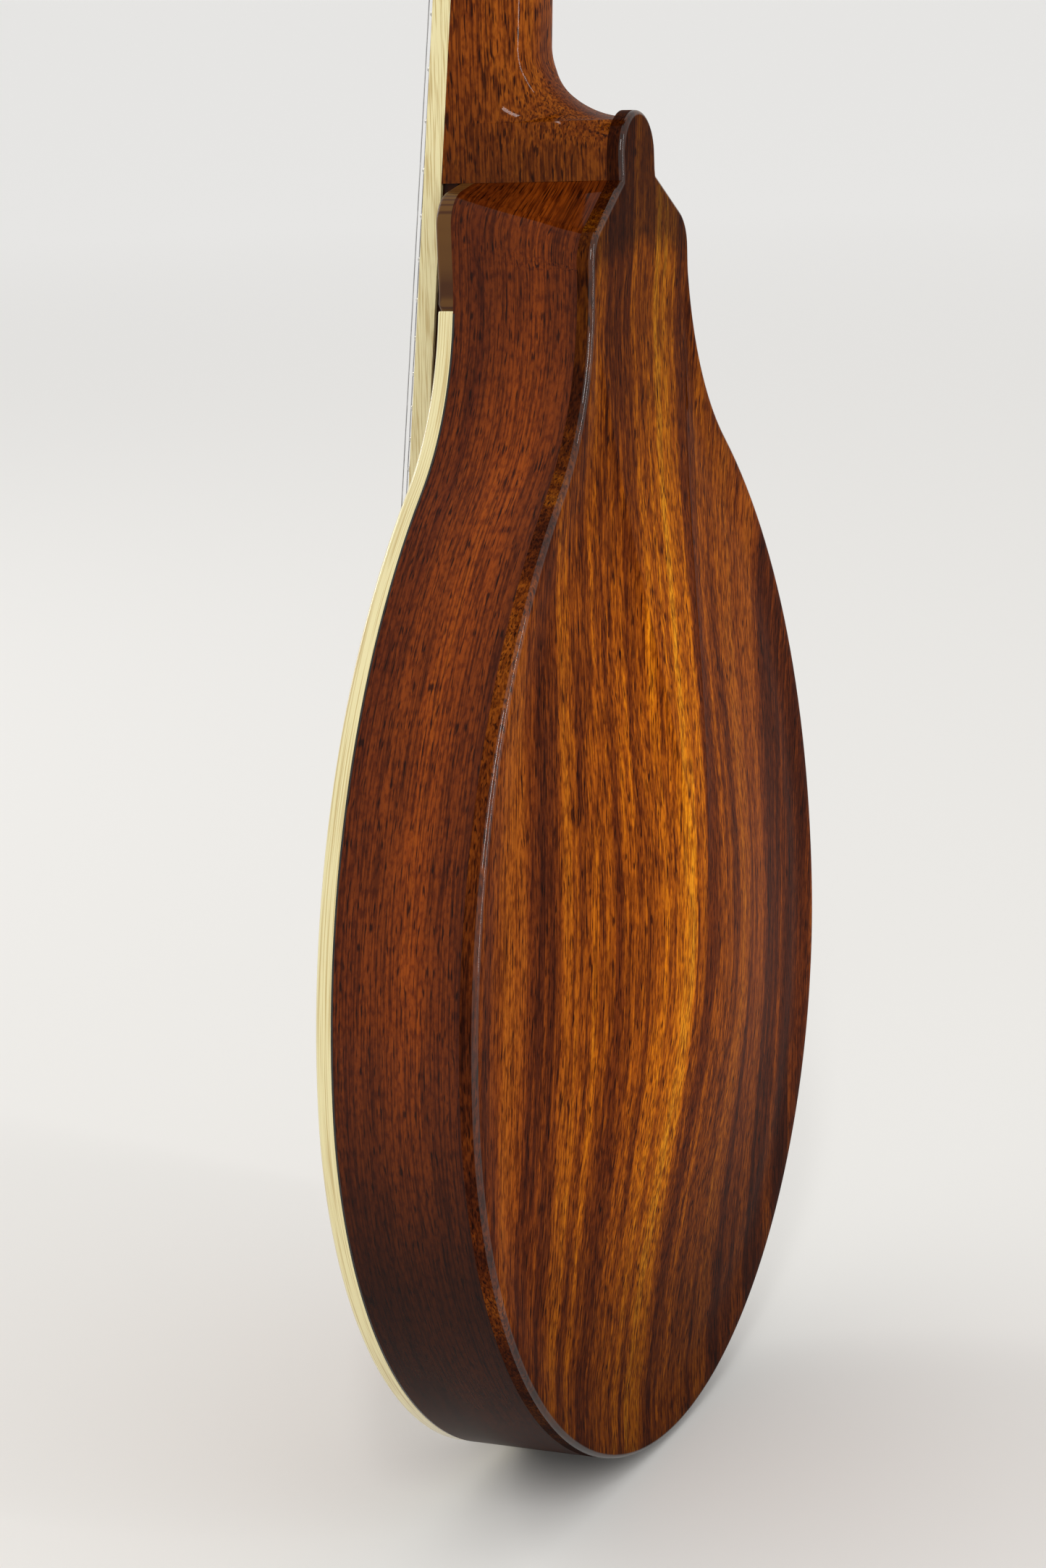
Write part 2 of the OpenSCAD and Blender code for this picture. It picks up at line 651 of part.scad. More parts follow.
// An open channel for a string along points that lead away from the tail
module groove(path, r) {
    skin([for (p = path) [for (q = [[-1, 3 / r], [1, 3 / r], [1, -0.577], [0, -1.155], [-1, -0.577]])
        p + r * [q[0], q[1], 0]]]);
}
function beyond(a, b, len) = a + (b - a) / norm(b - a) * len;

// The nut's top falls towards the headstock, as the strings do
module nut() {
    color("ivory") difference() {
        in_neck() bar_x(2 * nut_half) polygon([[-board_t + glue_gap, nut_z + glue_gap],
            [nut_string_y + 0.15, nut_z + glue_gap], [nut_string_y + 0.15, nut_z + 0.6],
            [nut_string_y - nut_len * tan(8), shaft_top_z], [-board_t + glue_gap, shaft_top_z]]);
        for (i = [0:7]) groove([beyond(nut_pt(i), saddle_at(i), 3), nut_pt(i),
            beyond(nut_pt(i), wind_path(i)[0], 8)], radius_of(i) + 0.04);
    }
}

// Where a string meets its post, how it winds, and where it ends
function wind_path(i) = let (k = post_of(i), s = tuner_side(k), r = wind_r + radius_of(i) + 0.08,
    rise = 2 * radius_of(i) + 0.06, steps = 12 * string_turns)
    [for (j = [0:steps]) let (a = 180 - 30 * j)
        head_pt([s * (post_x + r * cos(a)), wind_y + 1.3 - rise * j / 12, post_z(k) + r * sin(a)])];
function nut_pt(i) = neck_pt([spread(nut_spread, pair_gap_nut, i), nut_string_y, nut_z + 0.5]);
function saddle_at(i) = [spread(bridge_spread, pair_gap_bridge, i), string_y, bridge_z];
function loop_path(i) = let (r = hook_r + radius_of(i) + 0.06)
    [for (j = [0:9]) let (a = -50 - 36 * j)
        [hook_x(i) + r * cos(a), hook_y - 0.12 * j + 0.5, hook_z + r * sin(a)]];
function string_path(i) = concat(loop_path(i), [saddle_at(i), nut_pt(i)], wind_path(i));

// A thin tube of flat sides along a path
module tube(path, r, sides) {
    n = len(path);
    dir = [for (i = [0:n - 1]) let (d = path[min(i + 1, n - 1)] - path[max(i - 1, 0)]) d / norm(d)];
    function ref(d) = let (u = abs(d[1]) > 0.9 ? [1, 0, 0] : [0, 1, 0], v = cross(d, u)) v / norm(v);
    skin([for (i = [0:n - 1]) let (v = ref(dir[i]), w = cross(dir[i], v))
        [for (j = [0:sides - 1]) let (a = -360 * j / sides) path[i] + r * (cos(a) * v + sin(a) * w)]]);
}

module strings() {
    color("gold") for (i = [0:7]) tube(string_path(i), radius_of(i), 6);
}

// ---------- bridge ----------

module bridge_base() {
    steps = [-10:10];
    color("black") difference() {
        skin([for (i = steps) let (x = bridge_half * i / 10, f = abs(i) / 10,
            low = max(top_y(x, bridge_z - bridge_w / 2), top_y(x, bridge_z + bridge_w / 2),
                top_y(x, bridge_z)) + glue_gap,
            end_low = low + 3,
            top = f < 0.75 ? base_top : base_top - (base_top - end_low) * sin(90 * (f - 0.75) / 0.25),
            w = bridge_w / 2 * (f > 0.95 ? 0.75 : 1), v = f < 0.75 ? w * 0.62 : w * 0.5)
            [[x, low, bridge_z - w], [x, low, bridge_z + w], [x, low + 2, bridge_z + w],
            [x, top, bridge_z + v], [x, top, bridge_z - v], [x, low + 2, bridge_z - w]]]);
        for (s = [-1, 1]) translate([s * wheel_x, 0, bridge_z])
            rod_y(screw_r + glue_gap, base_top - 6.5, base_top + 1);
    }
}

module bridge_posts() {
    color("gold") for (s = [-1, 1]) translate([s * wheel_x, 0, bridge_z])
        rod_y(screw_r, base_top - 6, saddle_low + 3);
}

module thumbwheel(s) {
    color("gold") translate([s * wheel_x, 0, bridge_z]) difference() {
        translate([0, wheel_y, 0]) rotate([-90, 0, 0]) rotate_extrude() polygon([
            [screw_r + fit_gap, 0], [wheel_r - 0.5, 0], [wheel_r, 0.5], [wheel_r, wheel_h - 0.5],
            [wheel_r - 0.5, wheel_h], [screw_r + fit_gap, wheel_h]]);
        for (a = [0:15:345]) rotate([0, a, 0]) translate([wheel_r + 0.35, 0, 0])
            rod_y(0.7, wheel_y - 1, wheel_y + wheel_h + 1);
    }
}
module bass_thumbwheel() { thumbwheel(1); }
module treble_thumbwheel() { thumbwheel(-1); }

module bridge_saddle() {
    pad = wheel_x - 8;
    top = string_y + 0.5;
    side = [for (i = [0:10]) let (t = i / 10) [bridge_spread + 5 + (wheel_x + 9 - bridge_spread - 5) * t,
        top - (top - saddle_low - 3) * (1 - cos(180 * t)) / 2]];
    color("black") difference() {
        translate([0, 0, bridge_z - 3]) linear_extrude(6) polygon(concat(
            [[-wheel_x - 9, saddle_low], [-pad, saddle_low]],
            [for (i = [-6:6]) [pad * i / 6.5, saddle_low + 1.6 * sqrt(1 - pow(i / 6.5, 2))]],
            [[pad, saddle_low], [wheel_x + 9, saddle_low]],
            [for (i = [10:-1:0]) side[i]], [for (i = [0:10]) [-side[i][0], side[i][1]]]));
        for (s = [-1, 1]) {
            translate([s * wheel_x, 0, bridge_z]) rod_y(screw_r + fit_gap, saddle_low - 1, top + 1);
            translate([0, top, bridge_z]) rotate([0, 0, 0]) block([-30, -4, s > 0 ? 1.2 : -4],
                [30, 2, s > 0 ? 4 : -1.2]);
        }
        for (i = [0:7]) groove([beyond(saddle_at(i), loop_path(i)[9], 5), saddle_at(i),
            beyond(saddle_at(i), nut_pt(i), 5)], radius_of(i) + 0.04);
    }
}

// ---------- tailpiece ----------

fold_low = -9;
tail_screw_at = [[-8, 6], [8, 6], [0, 13]];
fold_z = -glue_gap;

// The tail screws' shanks, or their pilot holes when gap is more than nothing
module tail_screws(gap) {
    for (p = tail_screw_at) translate([p[0], p[1], 0]) {
        translate([0, 0, fold_z - sheet_t - 0.5]) cylinder(r = 1.1 + gap, h = 12.5 + gap);
    }
}

module tailpiece_base() {
    color("gold") {
        difference() {
            union() {
                block([-tail_half, leaf_y, fold_z - sheet_t], [tail_half, leaf_y + sheet_t, leaf_len]);
                block([-tail_half + 2, fold_low, fold_z - sheet_t], [tail_half - 2, leaf_y + sheet_t, fold_z]);
            }
            tail_screws(glue_gap);
            strap_pin_hole(strap_pin_r);
        }
        for (i = [0:7]) translate([hook_x(i), 0, hook_z]) {
            rod_y(hook_r, leaf_y + 0.5, hook_y + 1.6);
            translate([0, hook_y + 1.6, 0]) rotate([-90, 0, 0]) cylinder(r = hook_r + 0.25, h = 0.6);
        }
    }
}

// Side view of the cover, as points in y and z
function cover_side(d, up) = [[leaf_y + sheet_t + 0.3 - up, fold_z - sheet_t - 0.3 - cover_t + d],
    [hook_y + 5.5 - d, fold_z - sheet_t - 0.3 - cover_t + d], [hook_y + 8 - d, 10],
    [hook_y + (cover_len - hook_z) * after_slope + 4.4 - d, cover_len + up],
    [top_y(0, cover_len) + cover_gap - up, cover_len + up]];
module tailpiece_cover() {
    half = cover_half;
    color("gold") difference() {
        bar_x(2 * (half + cover_t)) polygon(cover_side(0, 0));
        bar_x(2 * half) polygon(cover_side(cover_t, 1));
    }
}

// ---------- screws ----------

module screw(head_r, head_h, r, len) {
    difference() {
        union() {
            cylinder(r1 = head_r, r2 = head_r * 0.75, h = head_h);
            translate([0, 0, -len]) cylinder(r = r, h = len + eps);
        }
        block([-head_r, -0.25, head_h - 0.5], [head_r, 0.25, head_h + 1]);
    }
}

plate_screw_z = [for (k = [0:4]) first_post - 9.5 + post_gap * k];
plate_screw_x = post_x - 2;
module plate_screws(gap) {
    in_head() for (s = [-1, 1]) for (z = plate_screw_z)
        translate([s * plate_screw_x, 0, z]) rod_y(0.9 + gap, -head_t - sheet_t - 0.1, -head_t + 7 + gap);
}
cover_screw_at = [[0, 31], [-5.8, 8.5], [5.8, 8.5]];
module cover_screws(gap) {
    in_head() for (p = cover_screw_at)
        translate([p[0], 0, p[1]]) rod_y(0.8 + gap, -6 - gap, veneer_t + cover_plate_t + 0.2);
}

module wood_screws() {
    color("gold") {
        for (p = tail_screw_at) translate([p[0], p[1], fold_z - sheet_t - glue_gap])
            rotate([180, 0, 0]) screw(2.2, 0.25, 1.1, 11);
        in_head() {
            for (s = [-1, 1]) for (z = plate_screw_z)
                translate([s * plate_screw_x, -head_t - sheet_t - glue_gap * 2, z])
                    rotate([90, 0, 0]) screw(1.9, 1.1, 0.9, 7);
            for (p = cover_screw_at) translate([p[0], veneer_t + cover_plate_t + glue_gap * 2, p[1]])
                rotate([-90, 0, 0]) screw(1.7, 0.9, 0.8, 6);
        }
    }
}

// ---------- headstock ----------

cover_plate_t = 1.5;
ferrule_r = 4.3;
ferrule_deep = 6;

module headstock_veneer() {
    color("black") difference() {
        in_head() difference() {
            slab(glue_gap, veneer_t) polygon(head_outline);
            block([-head_half, -1, -1], [head_half, veneer_t + 1, 1.5]);
        }
        rod_pocket();
        for (k = [1:8]) at_post(k) rod_y(ferrule_r + glue_gap, -1, 4);
        cover_screws(glue_gap);
    }
}

module truss_rod_cover() {
    bell = concat([[0, 2.2], [8.2, 2.2], [8.6, 6]],
        [for (i = [1:8]) let (t = i / 8) [8.6 - 5.2 * (1 - cos(180 * t)) / 2, 6 + 20 * t]],
        arc([0, 31], 3.8, -20, 90, 6, 0));
    color("black") difference() {
        in_head() slab(veneer_t + glue_gap, veneer_t + cover_plate_t) polygon(mirrored(bell));
        cover_screws(glue_gap);
    }
}

module post_ferrules() {
    color("gold") for (k = [1:8]) at_post(k) rotate([-90, 0, 0]) rotate_extrude() polygon([
        [post_r + fit_gap, -ferrule_deep], [ferrule_r, -ferrule_deep], [ferrule_r, veneer_t + glue_gap],
        [ferrule_r + 1.5, veneer_t + glue_gap], [ferrule_r + 1.2, veneer_t + 0.9],
        [post_r + 0.7, veneer_t + 1.4], [post_r + fit_gap, veneer_t + 1.4]]);
}

// ---------- tuners, built for the bass side and mirrored for the treble side ----------

module at_tuner(k) {
    in_head() translate([tuner_side(k) * post_x, 0, post_z(k)])
        mirror([tuner_side(k) < 0 ? 1 : 0, 0, 0]) children();
}

module tuner_plate() {
    end_gap = 12.5;
    low = first_post - end_gap;
    high = first_post + 3 * post_gap + end_gap + 2;
    difference() {
        union() {
            block([post_x - 8.5, -head_t - sheet_t, low], [post_x + 8.5, -head_t - glue_gap, high]);
            for (k = [1:4]) for (x = [-ear_x, ear_x]) translate([post_x + x, 0, post_z(k) + worm_up]) {
                block([-sheet_t / 2, worm_y, -ear_r], [sheet_t / 2, -head_t - sheet_t / 2, ear_r]);
                translate([0, worm_y, 0]) rod_x(ear_r, -sheet_t / 2, sheet_t / 2);
            }
        }
        for (k = [1:4]) translate([post_x, 0, post_z(k)]) {
            rod_y(post_r + fit_gap, -head_t - 3, 0);
            translate([0, worm_y, worm_up]) rod_x(shaft_r + fit_gap, -ear_x - 2, ear_x + 2);
        }
        for (z = plate_screw_z) translate([plate_screw_x, 0, z]) rod_y(0.9 + glue_gap, -head_t - 3, 0);
    }
}

module tuner_plates() {
    color("gold") in_head() {
        tuner_plate();
        mirror([1, 0, 0]) tuner_plate();
    }
}

// The worm's thread, swept round its shaft
module worm_thread() {
    half_root = lead * 0.36;
    half_tip = lead * 0.13;
    steps = 12 * worm_turns;
    skin([for (j = [0:steps]) let (a = 30 * j, x = lead * (j / 12 - worm_turns / 2 + 0.25),
        c = cos(a), s = sin(a), low = worm_core - 0.3)
        [[x - half_root, low * c, low * s], [x - half_tip, worm_tip * c, worm_tip * s],
        [x + half_tip, worm_tip * c, worm_tip * s], [x + half_root, low * c, low * s]]]);
}

module worm_shaft(k) {
    inner = ear_x - sheet_t / 2 - 0.08;
    color("silver") at_tuner(k) translate([0, worm_y, worm_up]) {
        rod_x(shaft_r, -ear_x - 1.2, button_x + 7);
        rod_x(worm_core, -inner, inner);
        worm_thread();
    }
}

module tuner_button(k) {
    r = button_r;
    t = 2.9;
    color("ivory") at_tuner(k) translate([button_x, worm_y, worm_up]) difference() {
        union() {
            translate([r + 1.2, 0, 0]) rotate([-90, 0, 0]) rotate_extrude() polygon([[0, -t],
                [r - 2.4, -t], [r - 0.8, -t + 0.9], [r, -0.9], [r, 0.9], [r - 0.8, t - 0.9],
                [r - 2.4, t], [0, t]]);
            rod_x(2.4, 0, 4);
        }
        rod_x(shaft_r + glue_gap, -1, 7.1);
    }
}

module string_post(k) {
    top = gear_top + glue_gap;
    base = worm_y - gear_t / 2;
    color("silver") at_post(k) {
        difference() {
            rotate([-90, 0, 0]) rotate_extrude() polygon([[0, top], [post_r, top],
                [post_r, wind_y - 2.4], [wind_r, wind_y - 1.9], [wind_r, wind_y + 1.9],
                [post_r, wind_y + 2.4], [post_r, post_top - 0.5], [post_r - 0.5, post_top], [0, post_top]]);
            translate([0, wind_y, 0]) rod_x(0.75, -5, 5);
        }
        block([-square_half, base, -square_half], [square_half, top + eps, square_half]);
        translate([0, base - glue_gap, 0]) rotate([90, 0, 0]) gear_screw();
    }
}

module gear_screw() {
    difference() {
        cylinder(r1 = 3.1, r2 = 2.5, h = 1.4);
        block([-3.5, -0.35, 0.8], [3.5, 0.35, 2]);
    }
}

// Straight teeth, thinned so that the worm's thread passes through them
module tuner_gear(k) {
    pitch = 360 / gear_teeth;
    tip_r = pitch_r + gear_module;
    root_r = pitch_r - 1.25 * gear_module;
    function tooth(a) = [[root_r, a - pitch * 0.34], [tip_r, a - pitch * 0.09],
        [tip_r, a + pitch * 0.09], [root_r, a + pitch * 0.34]];
    q = square_half + glue_gap;
    color("gold") at_tuner(k) difference() {
        translate([0, worm_y - gear_t / 2, 0]) slab(0, gear_t) polygon([for (i = [0:gear_teeth - 1])
            each [for (p = tooth(90 + (i + 0.5) * pitch)) [p[0] * cos(p[1]), p[0] * sin(p[1])]]]);
        block([-q, worm_y - 3, -q], [q, worm_y + 3, q]);
    }
}

// ---------- what is drawn ----------

top_plate();
back_plate();
ribs();
head_block();
tail_block();
linings();
cross_brace();
body_binding();
neck();
truss_rod();
truss_rod_nut();
truss_rod_cover();
headstock_veneer();
nut();
fingerboard();
fingerboard_binding();
frets();
strings();
bridge_base();
bridge_posts();
bridge_saddle();
bass_thumbwheel();
treble_thumbwheel();
tailpiece_base();
tailpiece_cover();
wood_screws();
tuner_plates();
post_ferrules();
worm_shaft(1);  // worm_shaft_1
worm_shaft(2);  // worm_shaft_2
worm_shaft(3);  // worm_shaft_3
worm_shaft(4);  // worm_shaft_4
worm_shaft(5);  // worm_shaft_5
worm_shaft(6);  // worm_shaft_6
worm_shaft(7);  // worm_shaft_7
worm_shaft(8);  // worm_shaft_8
tuner_button(1);  // tuner_button_1
tuner_button(2);  // tuner_button_2
tuner_button(3);  // tuner_button_3
tuner_button(4);  // tuner_button_4
tuner_button(5);  // tuner_button_5
tuner_button(6);  // tuner_button_6
tuner_button(7);  // tuner_button_7
tuner_button(8);  // tuner_button_8
string_post(1);  // string_post_1
string_post(2);  // string_post_2
string_post(3);  // string_post_3
string_post(4);  // string_post_4
string_post(5);  // string_post_5
string_post(6);  // string_post_6
string_post(7);  // string_post_7
string_post(8);  // string_post_8
tuner_gear(1);  // tuner_gear_1
tuner_gear(2);  // tuner_gear_2
tuner_gear(3);  // tuner_gear_3
tuner_gear(4);  // tuner_gear_4
tuner_gear(5);  // tuner_gear_5
tuner_gear(6);  // tuner_gear_6
tuner_gear(7);  // tuner_gear_7
tuner_gear(8);  // tuner_gear_8
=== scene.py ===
"""Dresses a carved-top mandolin: lacquered mahogany, spruce, grained binding, strings and fittings.

Sizes are in millimetres in the classes and in metres in Blender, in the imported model's frame:
+Z runs from the tail to the headstock, +Y out of the soundboard, and the treble side is at -X.
"""

from __future__ import annotations

import logging
import math
from dataclasses import dataclass, field
from enum import Enum
from typing import Callable, Iterable, Sequence

import bmesh
import bpy
import numpy as np
from mathutils import Matrix, Vector

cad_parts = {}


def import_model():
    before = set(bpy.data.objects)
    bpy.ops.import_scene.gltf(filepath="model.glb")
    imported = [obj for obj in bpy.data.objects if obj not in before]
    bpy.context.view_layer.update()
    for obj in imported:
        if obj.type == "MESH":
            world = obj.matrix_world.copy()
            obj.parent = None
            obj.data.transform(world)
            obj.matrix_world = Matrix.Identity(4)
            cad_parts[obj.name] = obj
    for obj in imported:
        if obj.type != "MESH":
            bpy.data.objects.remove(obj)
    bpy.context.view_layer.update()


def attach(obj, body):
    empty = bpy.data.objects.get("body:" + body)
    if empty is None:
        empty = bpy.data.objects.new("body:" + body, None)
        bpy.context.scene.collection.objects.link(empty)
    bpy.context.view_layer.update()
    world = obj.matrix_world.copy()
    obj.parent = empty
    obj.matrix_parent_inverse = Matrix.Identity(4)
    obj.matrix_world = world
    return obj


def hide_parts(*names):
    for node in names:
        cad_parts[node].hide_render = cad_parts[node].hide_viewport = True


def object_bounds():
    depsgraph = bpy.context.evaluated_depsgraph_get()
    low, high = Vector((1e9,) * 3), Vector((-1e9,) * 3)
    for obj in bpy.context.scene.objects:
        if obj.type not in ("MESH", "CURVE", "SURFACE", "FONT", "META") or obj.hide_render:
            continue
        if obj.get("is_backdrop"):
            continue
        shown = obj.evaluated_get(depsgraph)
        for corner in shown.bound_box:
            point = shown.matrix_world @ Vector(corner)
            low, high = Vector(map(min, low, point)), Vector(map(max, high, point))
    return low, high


LOG = logging.getLogger("mandolin")
MM = 0.001
GLUE = 0.02  # millimetres between pieces that are glued together
Point = tuple[float, float, float]
Flat = tuple[float, float]
IMAGE_HEIGHT = 2166
Socket = bpy.types.NodeSocket
Tree = bpy.types.NodeTree
Mesh = bpy.types.Mesh
Piece = bpy.types.Object
Material = bpy.types.Material
PAIRS = 4  # pairs of strings, and tuners on each side


class Body(Enum):
    """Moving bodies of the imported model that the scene's own pieces ride on."""

    INSTRUMENT = "instrument"
    SADDLE = "saddle"
    COVER = "cover"


class Coords(Enum):
    """Where a pattern takes its place from."""

    OBJECT = "object"
    GRAIN = "grain"


# ---------- colours and shader helpers ----------


def linear(code: str) -> tuple[float, float, float, float]:
    """Turns an sRGB hex value into a linear colour with full alpha."""
    parts = [int(code[i : i + 2], 16) / 255 for i in (1, 3, 5)]
    r, g, b = (c / 12.92 if c <= 0.04045 else ((c + 0.055) / 1.055) ** 2.4 for c in parts)
    return (r, g, b, 1.0)


def feed(tree: Tree, node: bpy.types.Node, inputs: dict) -> None:
    """Gives a node's inputs, by name or number, their values or the sockets that feed them."""
    for key, value in inputs.items():
        if isinstance(value, Socket):
            tree.links.new(value, node.inputs[key])
        else:
            node.inputs[key].default_value = value


def add_node(
    tree: Tree,
    kind: str,
    inputs: dict | None = None,
    ramp: Sequence[tuple[float, str]] = (),
    **settings: object,
) -> bpy.types.Node:
    """Adds one node, with its settings, values and links.

    Args:
        tree: The tree that gets the node.
        kind: The node's type.
        inputs: Values, or the sockets that feed them, by input name or number.
        ramp: Stops of a colour ramp, as places and hex colours.
        settings: Attributes of the node.

    Returns:
        The new node.
    """
    new = tree.nodes.new(kind)
    for name, value in settings.items():
        setattr(new, name, value)
    feed(tree, new, inputs or {})
    if ramp:
        stops = new.color_ramp.elements
        while len(stops) < len(ramp):
            stops.new(0.5)
        for stop, (place, code) in zip(stops, ramp):
            stop.position = place
            stop.color = linear(code)
    return new


def tint(tree: Tree, value: Socket, *stops: tuple[float, str]) -> Socket:
    """Turns a value into a colour, through the places and hex colours of a ramp."""
    return add_node(tree, "ShaderNodeValToRGB", {"Fac": value}, ramp=stops).outputs["Color"]


def stored(tree: Tree, name: str) -> Socket:
    """Reads the number that a mesh stores on its points."""
    return add_node(tree, "ShaderNodeAttribute", attribute_name=name).outputs["Fac"]


def reckon(tree: Tree, operation: str, *values: float | Socket) -> Socket:
    """Works out one operation on values or sockets."""
    inputs = dict(enumerate(values))
    return add_node(tree, "ShaderNodeMath", inputs, operation=operation).outputs[0]


@dataclass(frozen=True)
class Finish:
    """What every finish shares: its name, and how its material starts."""

    name: str

    def inputs(self, tree: Tree) -> dict:
        """Makes the finish's own nodes and gives what feeds its shader, by input name."""
        raise NotImplementedError

    def build(self) -> Material:
        """Makes the material."""
        material = bpy.data.materials.new(self.name)
        material.use_nodes = True
        tree = material.node_tree
        tree.nodes.clear()
        shader = add_node(tree, "ShaderNodeBsdfPrincipled")
        add_node(tree, "ShaderNodeOutputMaterial", {"Surface": shader.outputs[0]})
        feed(tree, shader, self.inputs(tree))
        return material

    def place(self, tree: Tree, coords: Coords) -> Socket:
        """Gives the coordinates of the pattern, in metres."""
        if coords is Coords.GRAIN:
            return add_node(tree, "ShaderNodeAttribute", attribute_name="grain").outputs["Vector"]
        return add_node(tree, "ShaderNodeTexCoord").outputs["Object"]

    def streaks(self, tree: Tree, place: Socket, size: Point, detail: float = 2.0) -> Socket:
        """Noise whose features have the given size in millimetres along each axis."""
        scale = tuple(1 / (s * MM) for s in size)
        mapped = add_node(tree, "ShaderNodeMapping", {"Vector": place, "Scale": scale})
        inputs = {"Vector": mapped.outputs[0], "Scale": 1.0, "Detail": detail, "Roughness": 0.5}
        return add_node(tree, "ShaderNodeTexNoise", inputs).outputs["Fac"]


def mix(
    tree: Tree,
    factor: float | Socket,
    under: Socket,
    over: Socket | tuple,
    blend: str = "MIX",
) -> Socket:
    """Lays one colour over another."""
    inputs = {"Factor": factor, 6: under, 7: over}
    return add_node(tree, "ShaderNodeMix", inputs, data_type="RGBA", blend_type=blend).outputs[2]


@dataclass(frozen=True)
class Marks:
    """Small dark marks of one kind in the wood.

    They are darkest where their noise is under dark_at, and gone where it is over clear_at.
    """

    size: Point
    detail: float
    dark_at: float
    dark: str
    clear_at: float
    strength: float


FLECKS = Marks((0.9, 0.9, 2.6), 2.0, 0.36, "#b09a90", 0.56, 0.8)
FIBRES = Marks((0.55, 0.55, 26.0), 1.0, 0.38, "#9a8880", 0.55, 0.8)
# Pores are about 0.3 mm wide; they are drawn a little wider so that they show.
PORES = Marks((0.5, 0.5, 5.0), 0.0, 0.27, "#4a2a1c", 0.36, 0.85)


@dataclass(frozen=True)
class LacqueredMahogany(Finish):
    """Ribbon-stripe mahogany under gloss lacquer.

    The eye gets long dark and bright bands with ragged edges where the grain interlocks,
    fine fibres and short open pores, and a deep shine that shows lamps as sharp streaks.
    """

    ramp: tuple[str, str, str, str] = ("#52210a", "#79360c", "#994b0f", "#ad5b14")
    heart: tuple[str, str, str, str] = ("#6f3008", "#ae580a", "#d97a0b", "#e8951a")
    heart_x: float = 0.0
    heart_width: float = 0.0
    stain: str = "#120402"
    coords: Coords = Coords.GRAIN
    wide: Point = (13.0, 400.0, 520.0)
    narrow: Point = (4.0, 200.0, 130.0)
    contrast: float = 1.0
    lacquer: float = 0.07
    edge_lacquer: float = 0.9

    def inputs(self, tree: Tree) -> dict:
        """Makes the nodes and gives what feeds the shader."""
        place = self.place(tree, self.coords)
        value = self.streaks(tree, place, self.wide, 0.0)
        layers = ((self.narrow, 0.46), ((1.9, 1.9, 9.0), 0.16), ((0.8, 0.8, 40.0), 0.14))
        for size, share in layers:
            inputs = {"Factor": share, 2: value, 3: self.streaks(tree, place, size)}
            value = add_node(tree, "ShaderNodeMix", inputs, data_type="FLOAT").outputs[0]
        half = 0.075 / self.contrast
        stops = (0.5 - half, 0.5, 0.5 + half, 0.5 + 2 * half)
        colour = tint(tree, value, *zip(stops, self.ramp))
        if self.heart_width:
            # The wood is more golden in a band up the back.
            across = add_node(tree, "ShaderNodeSeparateXYZ", {0: place}).outputs[0]
            away = reckon(tree, "ABSOLUTE", reckon(tree, "SUBTRACT", across, self.heart_x * MM))
            reach = self.heart_width * MM
            share = add_node(
                tree,
                "ShaderNodeMapRange",
                {"Value": away, 1: reach * 0.3, 2: reach, 3: 1.0, 4: 0.0},
                interpolation_type="SMOOTHSTEP",
            ).outputs[0]
            colour = mix(tree, share, colour, tint(tree, value, *zip(stops, self.heart)))
        for marks in (FLECKS, FIBRES, PORES):
            noise = self.streaks(tree, place, marks.size, marks.detail)
            dark = tint(tree, noise, (marks.dark_at, marks.dark), (marks.clear_at, "#ffffff"))
            colour = mix(tree, marks.strength, colour, dark, "MULTIPLY")
        # The pores, laid on last, are hollow too.
        bump = add_node(
            tree, "ShaderNodeBump", {"Height": dark, "Strength": 0.06, "Distance": 0.0001}
        )
        # Lacquer is thickest on the rounded edges, where it shows a lamp as a white line.
        coat = {"Value": stored(tree, "polish"), 3: self.lacquer, 4: self.edge_lacquer}
        # Burst mixes in the stain colour; on the ribs it also paints shade at the tail.
        return {
            "Base Color": mix(tree, stored(tree, "burst"), colour, linear(self.stain)),
            "Normal": bump.outputs[0],
            "Roughness": 0.45,
            "Specular IOR Level": 0.0,
            "Coat Weight": add_node(tree, "ShaderNodeMapRange", coat).outputs[0],
            "Coat Roughness": 0.04,
        }


@dataclass(frozen=True)
class LacqueredSpruce(Finish):
    """Quarter-sawn spruce under amber lacquer: straight year rings, 1.2 mm apart, shaded edges."""

    wood: str = "#c98a3c"
    ring: str = "#8f5520"
    stain: str = "#1c0a06"
    stained: bool = True
    coords: Coords = Coords.GRAIN

    def inputs(self, tree: Tree) -> dict:
        """Makes the nodes and gives what feeds the shader."""
        place = self.place(tree, self.coords)
        # The year rings stand on edge, so the arch hardly bends them.
        flat = add_node(tree, "ShaderNodeMapping", {"Vector": place, "Scale": (1.0, 0.05, 1.0)})
        wave = {
            "Vector": flat.outputs[0],
            "Scale": 262.0,
            "Distortion": 1.6,
            "Detail": 2.0,
            "Detail Scale": 0.15,
        }
        bands = add_node(
            tree, "ShaderNodeTexWave", wave, wave_type="BANDS", bands_direction="X"
        ).outputs["Fac"]
        colour = tint(tree, bands, (0.2, self.wood), (0.62, self.wood), (0.95, self.ring))
        noise = self.streaks(tree, place, (7.0, 90.0, 90.0))
        silk = tint(tree, noise, (0.3, "#b9b0a8"), (0.7, "#ffffff"))
        colour = mix(tree, 0.6, colour, silk, "MULTIPLY")
        if self.stained:
            colour = mix(tree, stored(tree, "burst"), colour, linear(self.stain))
        return {
            "Base Color": colour,
            "Roughness": 0.4,
            "Specular IOR Level": 0.1,
            "Coat Weight": 0.2 if self.stained else 0.0,
            "Coat Roughness": 0.05,
        }


